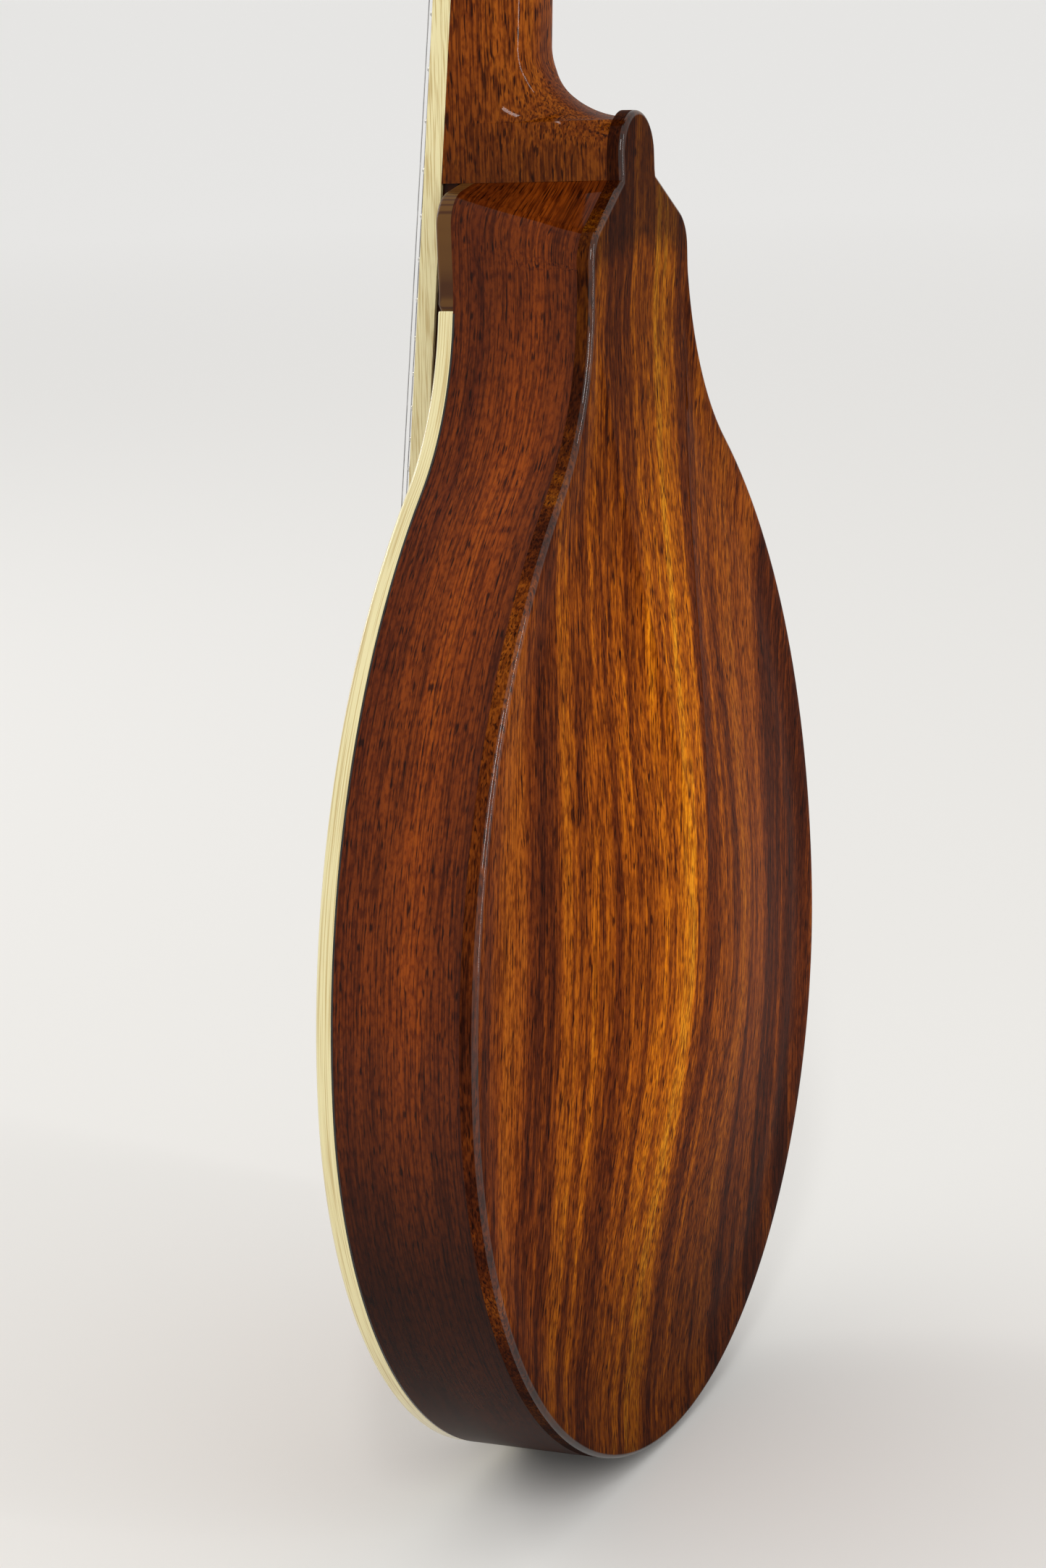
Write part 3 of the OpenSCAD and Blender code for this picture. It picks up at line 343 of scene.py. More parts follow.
@dataclass(frozen=True)
class OiledEbony(Finish):
    """Ebony, sanded and oiled: nearly black, with fine brown streaks and a soft sheen."""

    dark: str = "#0f0b09"
    streak: str = "#2b1c13"
    rough: float = 0.42
    coords: Coords = Coords.OBJECT

    def inputs(self, tree: Tree) -> dict:
        """Makes the nodes and gives what feeds the shader."""
        place = self.place(tree, self.coords)
        noise = self.streaks(tree, place, (0.8, 0.8, 30.0), 3.0)
        fine = self.streaks(tree, place, (0.3, 0.3, 5.0), 1.0)
        bump = add_node(
            tree, "ShaderNodeBump", {"Height": fine, "Strength": 0.15, "Distance": 0.0001}
        )
        return {
            "Base Color": tint(tree, noise, (0.4, self.dark), (0.75, self.streak)),
            "Normal": bump.outputs[0],
            "Roughness": self.rough,
        }


@dataclass(frozen=True)
class GrainedIvoroid(Finish):
    """Celluloid sheet made to look like ivory: cream with fine lengthwise lines, buffed."""

    cream: str = "#e4d8a4"
    line: str = "#c2ab70"
    coords: Coords = Coords.GRAIN
    lines: Point = (0.35, 0.35, 40.0)

    def inputs(self, tree: Tree) -> dict:
        """Makes the nodes and gives what feeds the shader."""
        place = self.place(tree, self.coords)
        noise = self.streaks(tree, place, self.lines)
        stops = ((0.36, self.line), (0.52, self.cream), (1.0, self.cream))
        return {
            "Base Color": tint(tree, noise, *stops),
            "Roughness": 0.28,
            "Subsurface Weight": 0.08,
            "Subsurface Radius": (0.002, 0.0015, 0.001),
            "Coat Weight": 0.6,
            "Coat Roughness": 0.06,
        }


@dataclass(frozen=True)
class Metal(Finish):
    """Metal that is plated, drawn or cast, with the fine scratches of handling."""

    colour: str = "#c9c6bf"
    worn: str = "#bfbcb4"
    rough: float = 0.2
    scratch: Point = (0.4, 0.4, 6.0)

    def inputs(self, tree: Tree) -> dict:
        """Makes the nodes and gives what feeds the shader."""
        place = self.place(tree, Coords.OBJECT)
        wear = self.streaks(tree, place, (9.0, 9.0, 9.0), 3.0)
        marks = self.streaks(tree, place, self.scratch, 3.0)
        rough = {"Value": marks, 3: self.rough * 0.7, 4: self.rough * 1.5}
        return {
            "Base Color": tint(tree, wear, (0.3, self.worn), (0.6, self.colour)),
            "Roughness": add_node(tree, "ShaderNodeMapRange", rough).outputs[0],
            "Metallic": 1.0,
        }


@dataclass(frozen=True)
class Moulded(Finish):
    """Moulded plastic or buffed bone: one colour, faintly mottled."""

    colour: str = "#0c0c0d"
    mottle: str = "#161616"
    rough: float = 0.25
    spread: Point = (3.0, 3.0, 3.0)
    pearl: float = 0.0

    def inputs(self, tree: Tree) -> dict:
        """Makes the nodes and gives what feeds the shader."""
        place = self.place(tree, Coords.OBJECT)
        clouds = self.streaks(tree, place, self.spread, 3.0)
        return {
            "Base Color": tint(tree, clouds, (0.38, self.mottle), (0.62, self.colour)),
            "Roughness": self.rough,
            "Coat Weight": self.pearl,
            "Coat Roughness": 0.05,
        }


# ---------- mesh helpers ----------


def in_scene(name: str, data: bpy.types.ID) -> Piece:
    """Puts data into the scene as an object."""
    fresh = bpy.data.objects.new(name, data)
    bpy.context.scene.collection.objects.link(fresh)
    return fresh


@dataclass
class Shell:
    """Points in millimetres and faces of a piece, with what its finish reads at each point."""

    points: list[Point] = field(default_factory=list)
    faces: list[tuple[int, ...]] = field(default_factory=list)
    grain: list[Point] = field(default_factory=list)
    burst: list[float] = field(default_factory=list)
    polish: list[float] = field(default_factory=list)

    def ring(
        self,
        points: Sequence[Point],
        grain: Sequence[Point],
        burst: Sequence[float],
        polish: float = 0.0,
    ) -> int:
        """Adds a row of points and gives the first one's number."""
        first = len(self.points)
        self.polish.extend([polish] * len(points))
        self.points.extend(points)
        self.grain.extend(grain)
        self.burst.extend(burst)
        return first

    def bridge(self, a: int, b: int, count: int, closed: bool = True) -> None:
        """Joins two rows of the same length with quads."""
        for i in range(count if closed else count - 1):
            j = (i + 1) % count
            self.faces.append((a + i, a + j, b + j, b + i))

    def cap(self, first: int, count: int) -> None:
        """Closes a row with one face."""
        self.faces.append(tuple(range(first, first + count)))

    def skin(
        self,
        rows: Sequence[Sequence[Point]],
        grain: Sequence[Sequence[Point]] | None = None,
        burst: Callable[[Point], float] = lambda p: 0.0,
        caps: bool = True,
    ) -> None:
        """Lofts a closed solid through rows of points.

        Args:
            rows: Closed cross-sections, all with as many points.
            grain: What the finish reads as the place in the wood; the points themselves if None.
            burst: How dark each point is stained; on the ribs, painted shade at the tail too.
            caps: Whether the first and last rows are closed.
        """
        count = len(rows[0])
        starts = [
            self.ring(row, grain[k] if grain else row, [burst(p) for p in row])
            for k, row in enumerate(rows)
        ]
        for a, b in zip(starts, starts[1:]):
            self.bridge(a, b, count)
        if caps:
            self.cap(starts[0], count)
            self.cap(starts[-1], count)

    def object(self, name: str, finish: Material, crease: float = 38.0) -> Piece:
        """Makes the object, with normals outwards and edges sharper than crease kept sharp."""
        mesh = bpy.data.meshes.new(name)
        mesh.from_pydata([tuple(c * MM for c in p) for p in self.points], [], self.faces)
        for label, kind, values in (
            ("grain", "FLOAT_VECTOR", [c * MM for p in self.grain for c in p]),
            ("burst", "FLOAT", self.burst),
            ("polish", "FLOAT", self.polish),
        ):
            layer = mesh.attributes.new(label, kind, "POINT")
            layer.data.foreach_set("vector" if kind == "FLOAT_VECTOR" else "value", values)
        mesh.materials.append(finish)
        outward(mesh)
        smooth(mesh, crease)
        return in_scene(name, mesh)


def outward(mesh: Mesh) -> None:
    """Merges doubles and turns all faces outwards."""
    work = bmesh.new()
    work.from_mesh(mesh)
    bmesh.ops.remove_doubles(work, verts=work.verts, dist=1e-6)
    bmesh.ops.recalc_face_normals(work, faces=work.faces)
    work.to_mesh(mesh)
    work.free()


def smooth(mesh: Mesh, crease: float) -> None:
    """Shades a mesh smooth, apart from edges sharper than crease degrees."""
    mesh.polygons.foreach_set("use_smooth", [True] * len(mesh.polygons))
    mesh.set_sharp_from_angle(angle=math.radians(crease))
    mesh.update()


def tilted(p: Point, y: float, z: float, tilt: float) -> Point:
    """Places a point of a frame that is tilted about X and starts at y, z."""
    c, s = math.cos(math.radians(tilt)), math.sin(math.radians(tilt))
    return (p[0], y + p[1] * c - p[2] * s, z + p[1] * s + p[2] * c)


def settle(
    piece: Piece,
    nodes: Iterable[str] = (),
    body: str = Body.INSTRUMENT.value,
) -> Piece:
    """Gives a piece its body and the nodes it stands for."""
    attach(piece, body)
    if nodes:
        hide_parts(*nodes)
    LOG.info("%s: %d faces", piece.name, len(piece.data.polygons))
    return piece


def bake(piece: Piece) -> Piece:
    """Turns a piece's evaluated geometry into its own plain mesh and removes its modifiers."""
    graph = bpy.context.evaluated_depsgraph_get()
    mesh = bpy.data.meshes.new_from_object(piece.evaluated_get(graph))
    name = piece.name
    bpy.data.objects.remove(piece)
    mesh.name = name
    return in_scene(name, mesh)


# ---------- the body ----------


def drilled(piece: Piece, at: Point, radius: float, reach: float) -> Piece:
    """Bores a hole along Z through a piece.

    Args:
        piece: The piece.
        at: The middle of the hole, in millimetres.
        radius: Its radius.
        reach: How far the drill goes to each side.
    """
    sides = 48
    turns = [math.tau * k / sides for k in range(sides)]
    ring = [(at[0] + radius * math.cos(t), at[1] + radius * math.sin(t)) for t in turns]
    points = [(x * MM, y * MM, (at[2] + s * reach) * MM) for s in (-1, 1) for x, y in ring]
    faces = [(k, (k + 1) % sides, sides + (k + 1) % sides, sides + k) for k in range(sides)]
    faces += [tuple(range(sides)), tuple(range(sides, 2 * sides))]
    mesh = bpy.data.meshes.new("drill")
    mesh.from_pydata(points, [], faces)
    outward(mesh)
    drill = in_scene("drill", mesh)
    cut = piece.modifiers.new("bore", "BOOLEAN")
    cut.operation = "DIFFERENCE"
    cut.solver = "EXACT"
    cut.object = drill
    piece = bake(piece)
    bpy.data.objects.remove(drill)
    return piece


@dataclass(frozen=True)
class Outline:
    """The body's outline as tangent arcs, and the carved arch that stands on it."""

    bout: float = 125.0
    flank: float = 185.0
    flank_turn: float = 50.0
    upper: float = 34.0
    straight: float = 0.7
    depth: float = 43.0
    plate: float = 4.5
    recurve: float = 0.6
    crown: float = 140.0
    button: float = 11.5
    button_len: float = 17.0
    top_end: float = 18.7026
    top_corner: Flat = (9.0, 80.0)
    back_corner: Flat = (11.0, 58.0)

    @property
    def edge(self) -> float:
        """Half the body's depth."""
        return self.depth / 2

    @property
    def waist(self) -> tuple[float, float, float]:
        """Radius of the waist, and where the flank meets it."""
        turn = math.radians(self.flank_turn)
        x = self.bout - self.flank + self.flank * math.cos(turn)
        z = self.bout + self.flank * math.sin(turn)
        return (x - self.upper) / (1 - math.cos(turn)), x, z

    @property
    def length(self) -> float:
        """Length of the body from its tail to the neck joint."""
        r, _, z = self.waist
        corner, turn = self.back_corner
        rad = math.radians(turn)
        slope = self.upper - corner * (1 - math.cos(rad))
        end = z + r * math.sin(math.radians(self.flank_turn)) + self.straight
        return end + corner * math.sin(rad) + (slope - self.button) / math.tan(rad)

    def half(self, corner: Flat, end: float, fine: int = 4) -> list[Flat]:
        """Points along +X from the tail to the neck.

        Args:
            corner: Radius and turn of the shoulder.
            end: Half width at the neck joint.
            fine: How many times finer than the solid's outline the points are.
        """
        r, x, z = self.waist
        turn = self.flank_turn
        rad = math.radians(turn)
        shoulder, bend = corner
        slope = self.upper - shoulder * (1 - math.cos(math.radians(bend)))
        start = (
            self.length
            - shoulder * math.sin(math.radians(bend))
            - (slope - end) / math.tan(math.radians(bend))
        )

        def arc(cx: float, cz: float, rr: float, a: float, b: float, n: int) -> list[Flat]:
            steps = [math.radians(a + (b - a) * i / n) for i in range(1, n + 1)]
            return [(cx + rr * math.cos(t), cz + rr * math.sin(t)) for t in steps]

        run: list[Flat] = [(0.0, 0.0)]
        run += arc(0, self.bout, self.bout, -90, 0, 16 * fine)
        run += arc(self.bout - self.flank, self.bout, self.flank, 0, turn, 7 * fine)
        centre = (x + r * math.cos(rad), z + r * math.sin(rad))
        run += arc(*centre, r, 180 + turn, 180, 7 * fine)
        low = run[-1][1]
        run += [(self.upper, low + (start - low) * i / fine) for i in range(1, fine + 1)]
        run += arc(self.upper - shoulder, start, shoulder, 0, bend, 6 * fine)
        last = run[-1]
        run += [
            (last[0] + (end - last[0]) * i / fine, last[1] + (self.length - last[1]) * i / fine)
            for i in range(1, fine + 1)
        ]
        return run

    @property
    def reach_table(self) -> tuple[np.ndarray, np.ndarray]:
        """Distance from the crown to the edge, by the angle from the neck's direction."""
        fine = 4
        run = self.half(self.top_corner, self.top_end, fine)[: 30 * fine + 1]
        angle = [math.degrees(math.atan2(x, z - self.crown)) for x, z in run][::-1]
        reach = [math.hypot(x, z - self.crown) for x, z in run][::-1]
        return np.array([0.0] + angle), np.array([reach[0] * 1.01] + reach)

    def height(self, x: float, z: float, rise: float, table: tuple) -> float:
        """Height of the carved face over the body's edge at one place."""
        angle = math.degrees(math.atan2(abs(x), z - self.crown))
        share = min(1.0, math.hypot(x, z - self.crown) / float(np.interp(angle, *table)))
        dome = (1 + math.cos(math.pi * share / 0.93)) / 2 if share < 0.93 else 0.0
        scoop = math.sin(math.pi * (share - 0.8) / 0.2) ** 2 if share > 0.8 else 0.0
        return rise * dome - self.recurve * scoop


def mirrored(half: Sequence[Flat]) -> list[Flat]:
    """A closed outline from a half that starts and ends on the centre line."""
    return list(half) + [(-x, z) for x, z in half[-2:0:-1]]


def inset(run: Sequence[Flat], by: float) -> list[Flat]:
    """Moves each point of an open run inwards, square to its neighbours."""
    out: list[Flat] = []
    for i, (x, z) in enumerate(run):
        a, b = run[max(i - 1, 0)], run[min(i + 1, len(run) - 1)]
        d = math.hypot(b[0] - a[0], b[1] - a[1])
        tx, tz = (b[0] - a[0]) / d, (b[1] - a[1]) / d
        out.append((0.0, z + by) if i == 0 else (x - by * tz, z + by * tx))
    return out


def ramp(value: float, low: float, high: float) -> float:
    """Smooth step from 0 at low to 1 at high."""
    t = min(1.0, max(0.0, (value - low) / (high - low)))
    return t * t * (3 - 2 * t)


@dataclass
class SoundBox:
    """Carved plates, bent ribs and edge binding."""

    outline: Outline = field(default_factory=Outline)
    top_rise: float = 14.5
    back_rise: float = 13.0
    hole: Flat = (26.0, 18.5)
    hole_z: float = 212.888
    binding: float = 1.6
    binding_drop: float = 31.0
    rib: float = 2.2
    round_r: float = 1.3
    back_lean: float = 0.143
    pin_hole: Point = (0.0, -3.0, 0.0)
    pin_r: float = 3.5

    def top_stain(self, share: float, z: float) -> float:
        """Stain of the soundboard: a sunburst that is black at the edge."""
        burst = 0.96 * ramp(share, 0.62, 1.0) + 0.3 * ramp(z, 250, 330)
        return min(1.0 - 0.2 * ramp(z, 285, 309), burst)

    def back_darkening(self, share: float, z: float) -> float:
        """Darkening of the back: a narrow dark line round the edge, and darker at both ends."""
        ends = 0.66 * (1 - ramp(z, 10, 125)) + 0.5 * ramp(z, 215, 310)
        return min(1.0, max(0.12 * ramp(share, 0.55, 0.95), ends) + 0.3 * ramp(share, 0.985, 1.0))

    def plate(
        self,
        outer: Sequence[Flat],
        inner: Sequence[Flat],
        side: int,
        rise: float,
        hole: bool,
        shade: Callable[[float, float], float],
    ) -> Shell:
        """A carved plate with a rounded outer edge.

        Args:
            outer: The plate's closed outline.
            inner: The hole's outline, or a small ring round the crown.
            side: 1 for the soundboard and -1 for the back.
            rise: How far the crown stands over the edge.
            hole: Whether the inner ring is an open hole.
            shade: How dark each point is, by the share of the way out and by height.
        """
        o, shell, n = self.outline, Shell(), len(outer)
        table = o.reach_table
        shift = inset(list(outer) + [outer[0]], self.round_r)[:n]
        shift[0] = (0.0, outer[0][1] + self.round_r)
        rows = []

        def put(
            points: Sequence[Flat],
            heights: Sequence[float],
            shares: Sequence[float],
            polish: float = 0.0,
        ) -> None:
            ring = [(x, side * (o.edge + h), z) for (x, z), h in zip(points, heights)]
            stain = [shade(s, z) for s, (x, z) in zip(shares, points)]
            lean = self.back_lean if side < 0 else 0.0
            grain = [(x - lean * z, y, z) for x, y, z in ring]
            rows.append(shell.ring(ring, grain, stain, polish))

        def share(x: float, z: float) -> float:
            angle = math.degrees(math.atan2(abs(x), z - o.crown))
            return math.hypot(x, z - o.crown) / float(np.interp(angle, *table))

        steps = 40
        for k in range(steps + 1):
            t = (k / steps) ** 0.9
            ring = [(a + t * (c - a), b + t * (d - b)) for (a, b), (c, d) in zip(inner, shift)]
            heights = [o.height(x, z, rise, table) for x, z in ring]
            put(ring, heights, [share(x, z) for x, z in ring])
        edge_h = [o.height(x, z, rise, table) for x, z in shift]
        for k in range(1, 6):
            a = math.radians(90 * k / 5)
            ring = [
                (c + (x - c) * math.sin(a), d + (z - d) * math.sin(a))
                for (x, z), (c, d) in zip(outer, shift)
            ]
            put(ring, [h - self.round_r * (1 - math.cos(a)) for h in edge_h], [1.0] * n, 1.0)
        put(outer, [h - self.round_r - 0.05 for h in edge_h], [1.0] * n)
        put(outer, [-o.plate] * n, [1.0] * n)
        for t in (0.95, 0.85, 0.7, 0.55, 0.4, 0.25, 0.12, 0.0):
            ring = [(a + t * (c - a), b + t * (d - b)) for (a, b), (c, d) in zip(inner, outer)]
            put(ring, [o.height(x, z, rise, table) - o.plate for x, z in ring], [0.0] * n)
        for a, b in zip(rows, rows[1:]):
            shell.bridge(a, b, n)
        if hole:
            shell.bridge(rows[-1], rows[0], n)
        else:
            shell.cap(rows[0], n)
            shell.cap(rows[-1], n)
        return shell

    def back_outline(self) -> list[Flat]:
        """Closed outline of the back with its heel button."""
        o = self.outline
        half = o.half(o.back_corner, o.button)
        tip = o.length + o.button_len
        half += [(o.button, o.length + (tip - o.button - o.length) * i / 4) for i in range(1, 5)]
        for i in range(1, 17):
            a = math.radians(90 * i / 16)
            half.append((o.button * math.cos(a), tip - o.button + o.button * math.sin(a)))
        half[-1] = (0.0, tip)
        return mirrored(half)

    def back(self, finish: Material) -> Piece:
        """The carved back."""
        o = self.outline
        outer = self.back_outline()
        ring = []
        for x, z in outer:
            a = math.atan2(x, z - o.crown)
            ring.append((3 * math.sin(a), o.crown + 3 * math.cos(a)))
        shell = self.plate(outer, ring, -1, self.back_rise, False, self.back_darkening)
        return settle(shell.object("carved_back", finish), ["back_plate"])

    def top_outline(self) -> list[Flat]:
        """Closed outline of the soundboard, drawn in where the binding runs."""
        o = self.outline
        half = o.half(o.top_corner, o.top_end) + [(0.0, o.length)]
        inner = inset(half, self.binding)
        start = o.length - self.binding_drop
        return mirrored([q if p[1] < start else p for p, q in zip(half, inner)])

    def top(self, finish: Material) -> Piece:
        """The carved soundboard with its oval hole."""
        outer = self.top_outline()
        ring = []
        for x, z in outer:
            a = math.atan2(x, z - self.hole_z)
            ring.append((self.hole[0] * math.sin(a), self.hole_z + self.hole[1] * math.cos(a)))
        shell = self.plate(outer, ring, 1, self.top_rise, True, self.top_stain)
        return settle(shell.object("carved_soundboard", finish), ["top_plate"])

    def rib_stain_and_shade(self, y: float, z: float) -> float:
        """Stain of the ribs at the shoulders and the back's edge, and painted shade at the tail."""
        # Painted shade: the lower half darkens towards the tail, which stands at the bottom.
        tail = 0.86 * (1 - ramp(z, 70, 165))
        shoulder = 0.28 * ramp(z, 262, 322)
        back = 0.34 * (1 - ramp(y, -17.5, -12.0))
        front = 0.12 * ramp(y, 13.0, 17.5)
        return max(tail, shoulder, back, front)

    def ribs(self, finish: Material) -> Piece:
        """The bent ribs, as one strip round the body."""
        o, shell = self.outline, Shell()
        y_end = o.edge - o.plate - GLUE
        top, back = o.half(o.top_corner, o.top_end), o.half(o.back_corner, o.button)
        sides = {}
        for name, by in (("out", 0.0), ("in", self.rib)):
            a, b = (inset(run, by) if by else run for run in (top, back))
            sides[name] = [[(-x, z) for x, z in run[:0:-1]] + list(run) for run in (a, b)]
        levels = [y_end - 2 * y_end * k / 14 for k in range(15)]
        rows, grain, along = [], [], 0.0
        outer = sides["out"][0]
        for i in range(len(outer)):
            if i:
                along += math.hypot(outer[i][0] - outer[i - 1][0], outer[i][1] - outer[i - 1][1])
            row = []
            for name, order in (("out", levels), ("in", levels[::-1])):
                (tx, tz), (bx, bz) = sides[name][0][i], sides[name][1][i]
                for y in order:
                    w = (y_end - y) / (2 * y_end)
                    row.append((tx + w * (bx - tx), y, tz + w * (bz - tz)))
            rows.append(row)
            grain.append([(p[1] + 300, 0.0, along) for p in row])
        # Each point's burst is its stain, with painted shade darkening the tail end.
        shell.skin(rows, grain, lambda p: self.rib_stain_and_shade(p[1], p[2]))
        piece = drilled(shell.object("bent_ribs", finish, 50), self.pin_hole, self.pin_r, 9.0)
        return settle(piece, ["ribs"])

    def edging(
        self,
        name: str,
        finish: Material,
        section: Sequence[Flat],
        nodes: Sequence[str],
    ) -> Piece:
        """A strip along the soundboard's edge.

        Args:
            name: The piece's name.
            finish: Its material.
            section: Its cross-section, as distances inwards and heights in y.
            nodes: The nodes that it stands for.
        """
        o, shell = self.outline, Shell()
        whole, end = o.half(o.top_corner, o.top_end), o.length - self.binding_drop
        half = [p for p in whole if p[1] < end]
        # The strip ends square, at the same height on both sides.
        half.append((whole[len(half)][0], end))
        lines = {by: inset(half, by) for by, _ in section}
        rows, grain, along = [], [], 0.0
        run = [(-1, i) for i in range(len(half) - 1, 0, -1)] + [(1, i) for i in range(len(half))]
        for number, (s, i) in enumerate(run):
            here = half[i]
            before, j = run[number - 1]
            if number and s == before:
                along += math.hypot(here[0] - half[j][0], here[1] - half[j][1])
            rows.append([(s * lines[by][i][0], y, lines[by][i][1]) for by, y in section])
            start = along + (0 if s < 0 else 1000)  # the two sides show other grain
            grain.append([(p[1], by, start) for p, (by, _) in zip(rows[-1], section)])
        shell.skin(rows, grain)
        return settle(shell.object(name, finish, 30), nodes)

    def bindings(self, cream: Material, black: Material) -> None:
        """The cream binding with its rounded corner, and the black line under it."""
        edge, low = self.outline.edge, self.outline.edge - self.outline.plate + GLUE
        r = self.round_r
        inside = self.binding - GLUE
        section = [(inside, low), (0.0, low), (0.0, edge - r)]
        for k in range(1, 6):
            a = math.radians(90 * k / 6)
            section.append((r * (1 - math.cos(a)), edge - r + r * math.sin(a)))
        section += [(r, edge - 0.03), (inside, edge - 0.03)]
        self.edging("edge_binding", cream, section, ["body_binding"])
        under, over = low - 0.5, low + GLUE
        line = [(-0.03, under), (-0.03, over), (0.6, over), (0.6, under)]
        self.edging("edge_line", black, line, ())


# ---------- the neck ----------


@dataclass
class Neck:
    """Neck, heel and headstock, with the riser under the fingerboard's free end."""

    outline: Outline = field(default_factory=Outline)
    tilt: float = 5.0
    head_tilt: float = 14.0
    lift: float = 4.5
    board: float = 5.0
    nut_half: float = 14.6
    taper: float = 0.0281
    nut_z: float = 146.0
    nut_len: float = 5.0
    depth_nut: float = 15.5
    depth_heel: float = 20.5
    foot: float = 15.0
    curve: float = 18.0
    head_len: float = 132.0
    head_t: float = 14.0
    head_half: float = 30.0
    over: float = 100.0
    scale: float = 352.0

    def fret(self, number: int) -> float:
        """Distance of a fret from the body joint."""
        return self.nut_z - self.scale * (1 - 2 ** (-number / 12))

    @property
    def board_y(self) -> float:
        """Height of the playing surface at the body joint."""
        return self.outline.edge + self.lift + self.board / math.cos(math.radians(self.tilt))

    @property
    def under_y(self) -> float:
        """Height of the fingerboard's underside at the body joint."""
        return self.board_y - self.board / math.cos(math.radians(self.tilt))

    def at(self, p: Point) -> Point:
        """A point of the neck's frame, whose y is 0 on the playing surface."""
        return tilted(p, self.board_y, self.outline.length, self.tilt)

    def at_head(self, p: Point) -> Point:
        """A point of the headstock's frame, whose y is 0 on the wood's face."""
        return self.at(tilted(p, -self.board, self.nut_z + self.nut_len, self.head_tilt))

    def half_at(self, z: float) -> float:
        """Half width of the neck at a distance from the body joint."""
        return self.nut_half + self.taper * (self.nut_z - z)

    def shaft(self, z: float) -> float:
        """Depth of the round shaft."""
        t = min(1.0, max(0.0, z / self.nut_z))
        return self.depth_heel + (self.depth_nut - self.depth_heel) * t

    def low(self, z: float) -> float:
        """Height of the neck's back at a distance from the body joint."""
        slope = math.tan(math.radians(self.tilt))
        end = self.foot + self.curve
        foot_y = -self.outline.edge + self.outline.plate + GLUE
        curve_y = self.under_y - end * slope - self.shaft(end)
        if z <= self.foot:
            return foot_y
        if z < end:
            u = 1 - (z - self.foot) / self.curve
            return curve_y - (curve_y - foot_y) * (1 - math.sqrt(max(0.0, 1 - u * u)))
        return self.under_y - z * slope - self.shaft(z)

    def ring(self, z: float, count: int = 26) -> list[Point]:
        """One cross-section: a deep foot under the body end, a round shaft beyond it."""
        o = self.outline
        top = self.under_y - z * math.tan(math.radians(self.tilt))
        depth, w = top - self.low(z), self.half_at(z)
        blend = min(1.0, max(0.0, (z - self.foot + 4) / 16))
        tip = o.button_len - o.button
        zz = min(z, self.foot)
        foot_half = o.button if zz < tip else math.sqrt(max(1.0, o.button**2 - (zz - tip) ** 2))
        foot = min(1.0, foot_half / w)
        side = []
        for k in range(count):
            t = k / (count - 1)
            q = math.radians(90 * t)
            x = w * ((1 - blend) * (1 - (1 - foot) * t**1.5) + blend * math.cos(q * 0.92))
            side.append((x, top - depth * ((1 - blend) * t + blend * math.sin(q)), o.length + z))
        return side + [(-x, y, z2) for x, y, z2 in side[::-1]]

    def tongue(self, z: float, w: float, y0: float, depth: float, count: int = 26) -> list[Point]:
        """One cross-section of the shaft's end, where it runs out into the headstock's back."""
        side = [
            (
                w * math.cos(math.radians(82.8 * k / (count - 1))),
                y0 - depth * math.sin(math.radians(90 * k / (count - 1))),
                z,
            )
            for k in range(count)
        ]
        return [self.at_head(p) for p in side + [(-x, y, z2) for x, y, z2 in side[::-1]]]

    def head_outline(self) -> list[Flat]:
        """Closed outline of the headstock."""
        a, h = self.nut_half + 0.6, self.head_half
        half: list[Flat] = [(0.0, 0.0), (self.nut_half, 0.0), (a, 4.0)]
        for i in range(1, 33):
            t = i / 32
            half.append((a + (h - a) * (1 - math.cos(math.pi * t)) / 2, 4 + 18 * t))
        half += [(h - 0.6, 60.0), (h - 0.9, 95.0), (h, 114.0), (h - 0.7, 120.0)]
        for i in range(1, 33):
            t = i / 32
            rise = (self.head_len - 120) * math.sin(math.pi / 2 * t) ** 1.2
            half.append(((h - 0.7) * (1 - t), 120 + rise))
        half[-1] = (0.0, self.head_len)
        return mirrored(half)

    def stain(self, p: Point) -> float:
        """Stain of the neck: dark at the heel, and again at the headstock."""
        z = p[2] - self.outline.length
        heel = 0.42 * (1 - ramp(z, 2, 40))
        return max(heel, 0.6 * ramp(z, 118, 160))

    def wood(self, finish: Material) -> Piece:
        """The neck's wood in one piece."""
        shell = Shell()
        stations = [0.02 + (self.foot - 0.5) * i / 16 for i in range(17)]
        stations += [self.foot + self.curve * (i / 40) ** 2 for i in range(41)]
        end = self.foot + self.curve
        stations += [end + (138 - end) * i / 50 for i in range(1, 51)]
        rows = [self.ring(z) for z in stations]
        half = self.nut_half
        for station in (
            (2, half - 0.3, 0, 14.9),
            (7, half - 1.4, -1.3, 13.7),
            (12, half - 3, -3, 12),
            (19, 9, -4.6, 10.1),
            (26, 5, -6, 8.3),
        ):
            rows.append(self.tongue(*station))
        shell.skin(rows, None, self.stain)
        head = mirrored_levels(self.head_outline(), self.head_t, 1.2)
        shell.skin([[self.at_head(p) for p in row] for row in head], None, self.stain)
        riser = []
        slope = math.tan(math.radians(self.tilt))
        table = self.outline.reach_table
        last = -self.over + 3
        for i in range(25):
            z = last + (1.02 - last) * i / 24
            zw, w = z * math.cos(math.radians(self.tilt)), self.half_at(z) - 1.2
            top = self.under_y - zw * slope
            zz = self.outline.length + zw
            low = self.outline.edge + max(0.0, self.outline.height(0, zz, 14.5, table)) + 0.35
            riser.append([(-w, top, zz), (w, top, zz), (w, low, zz), (-w, low, zz)])
        shell.skin(riser, None, lambda p: 0.9)
        return settle(shell.object("neck_wood", finish, 42), ["neck"])


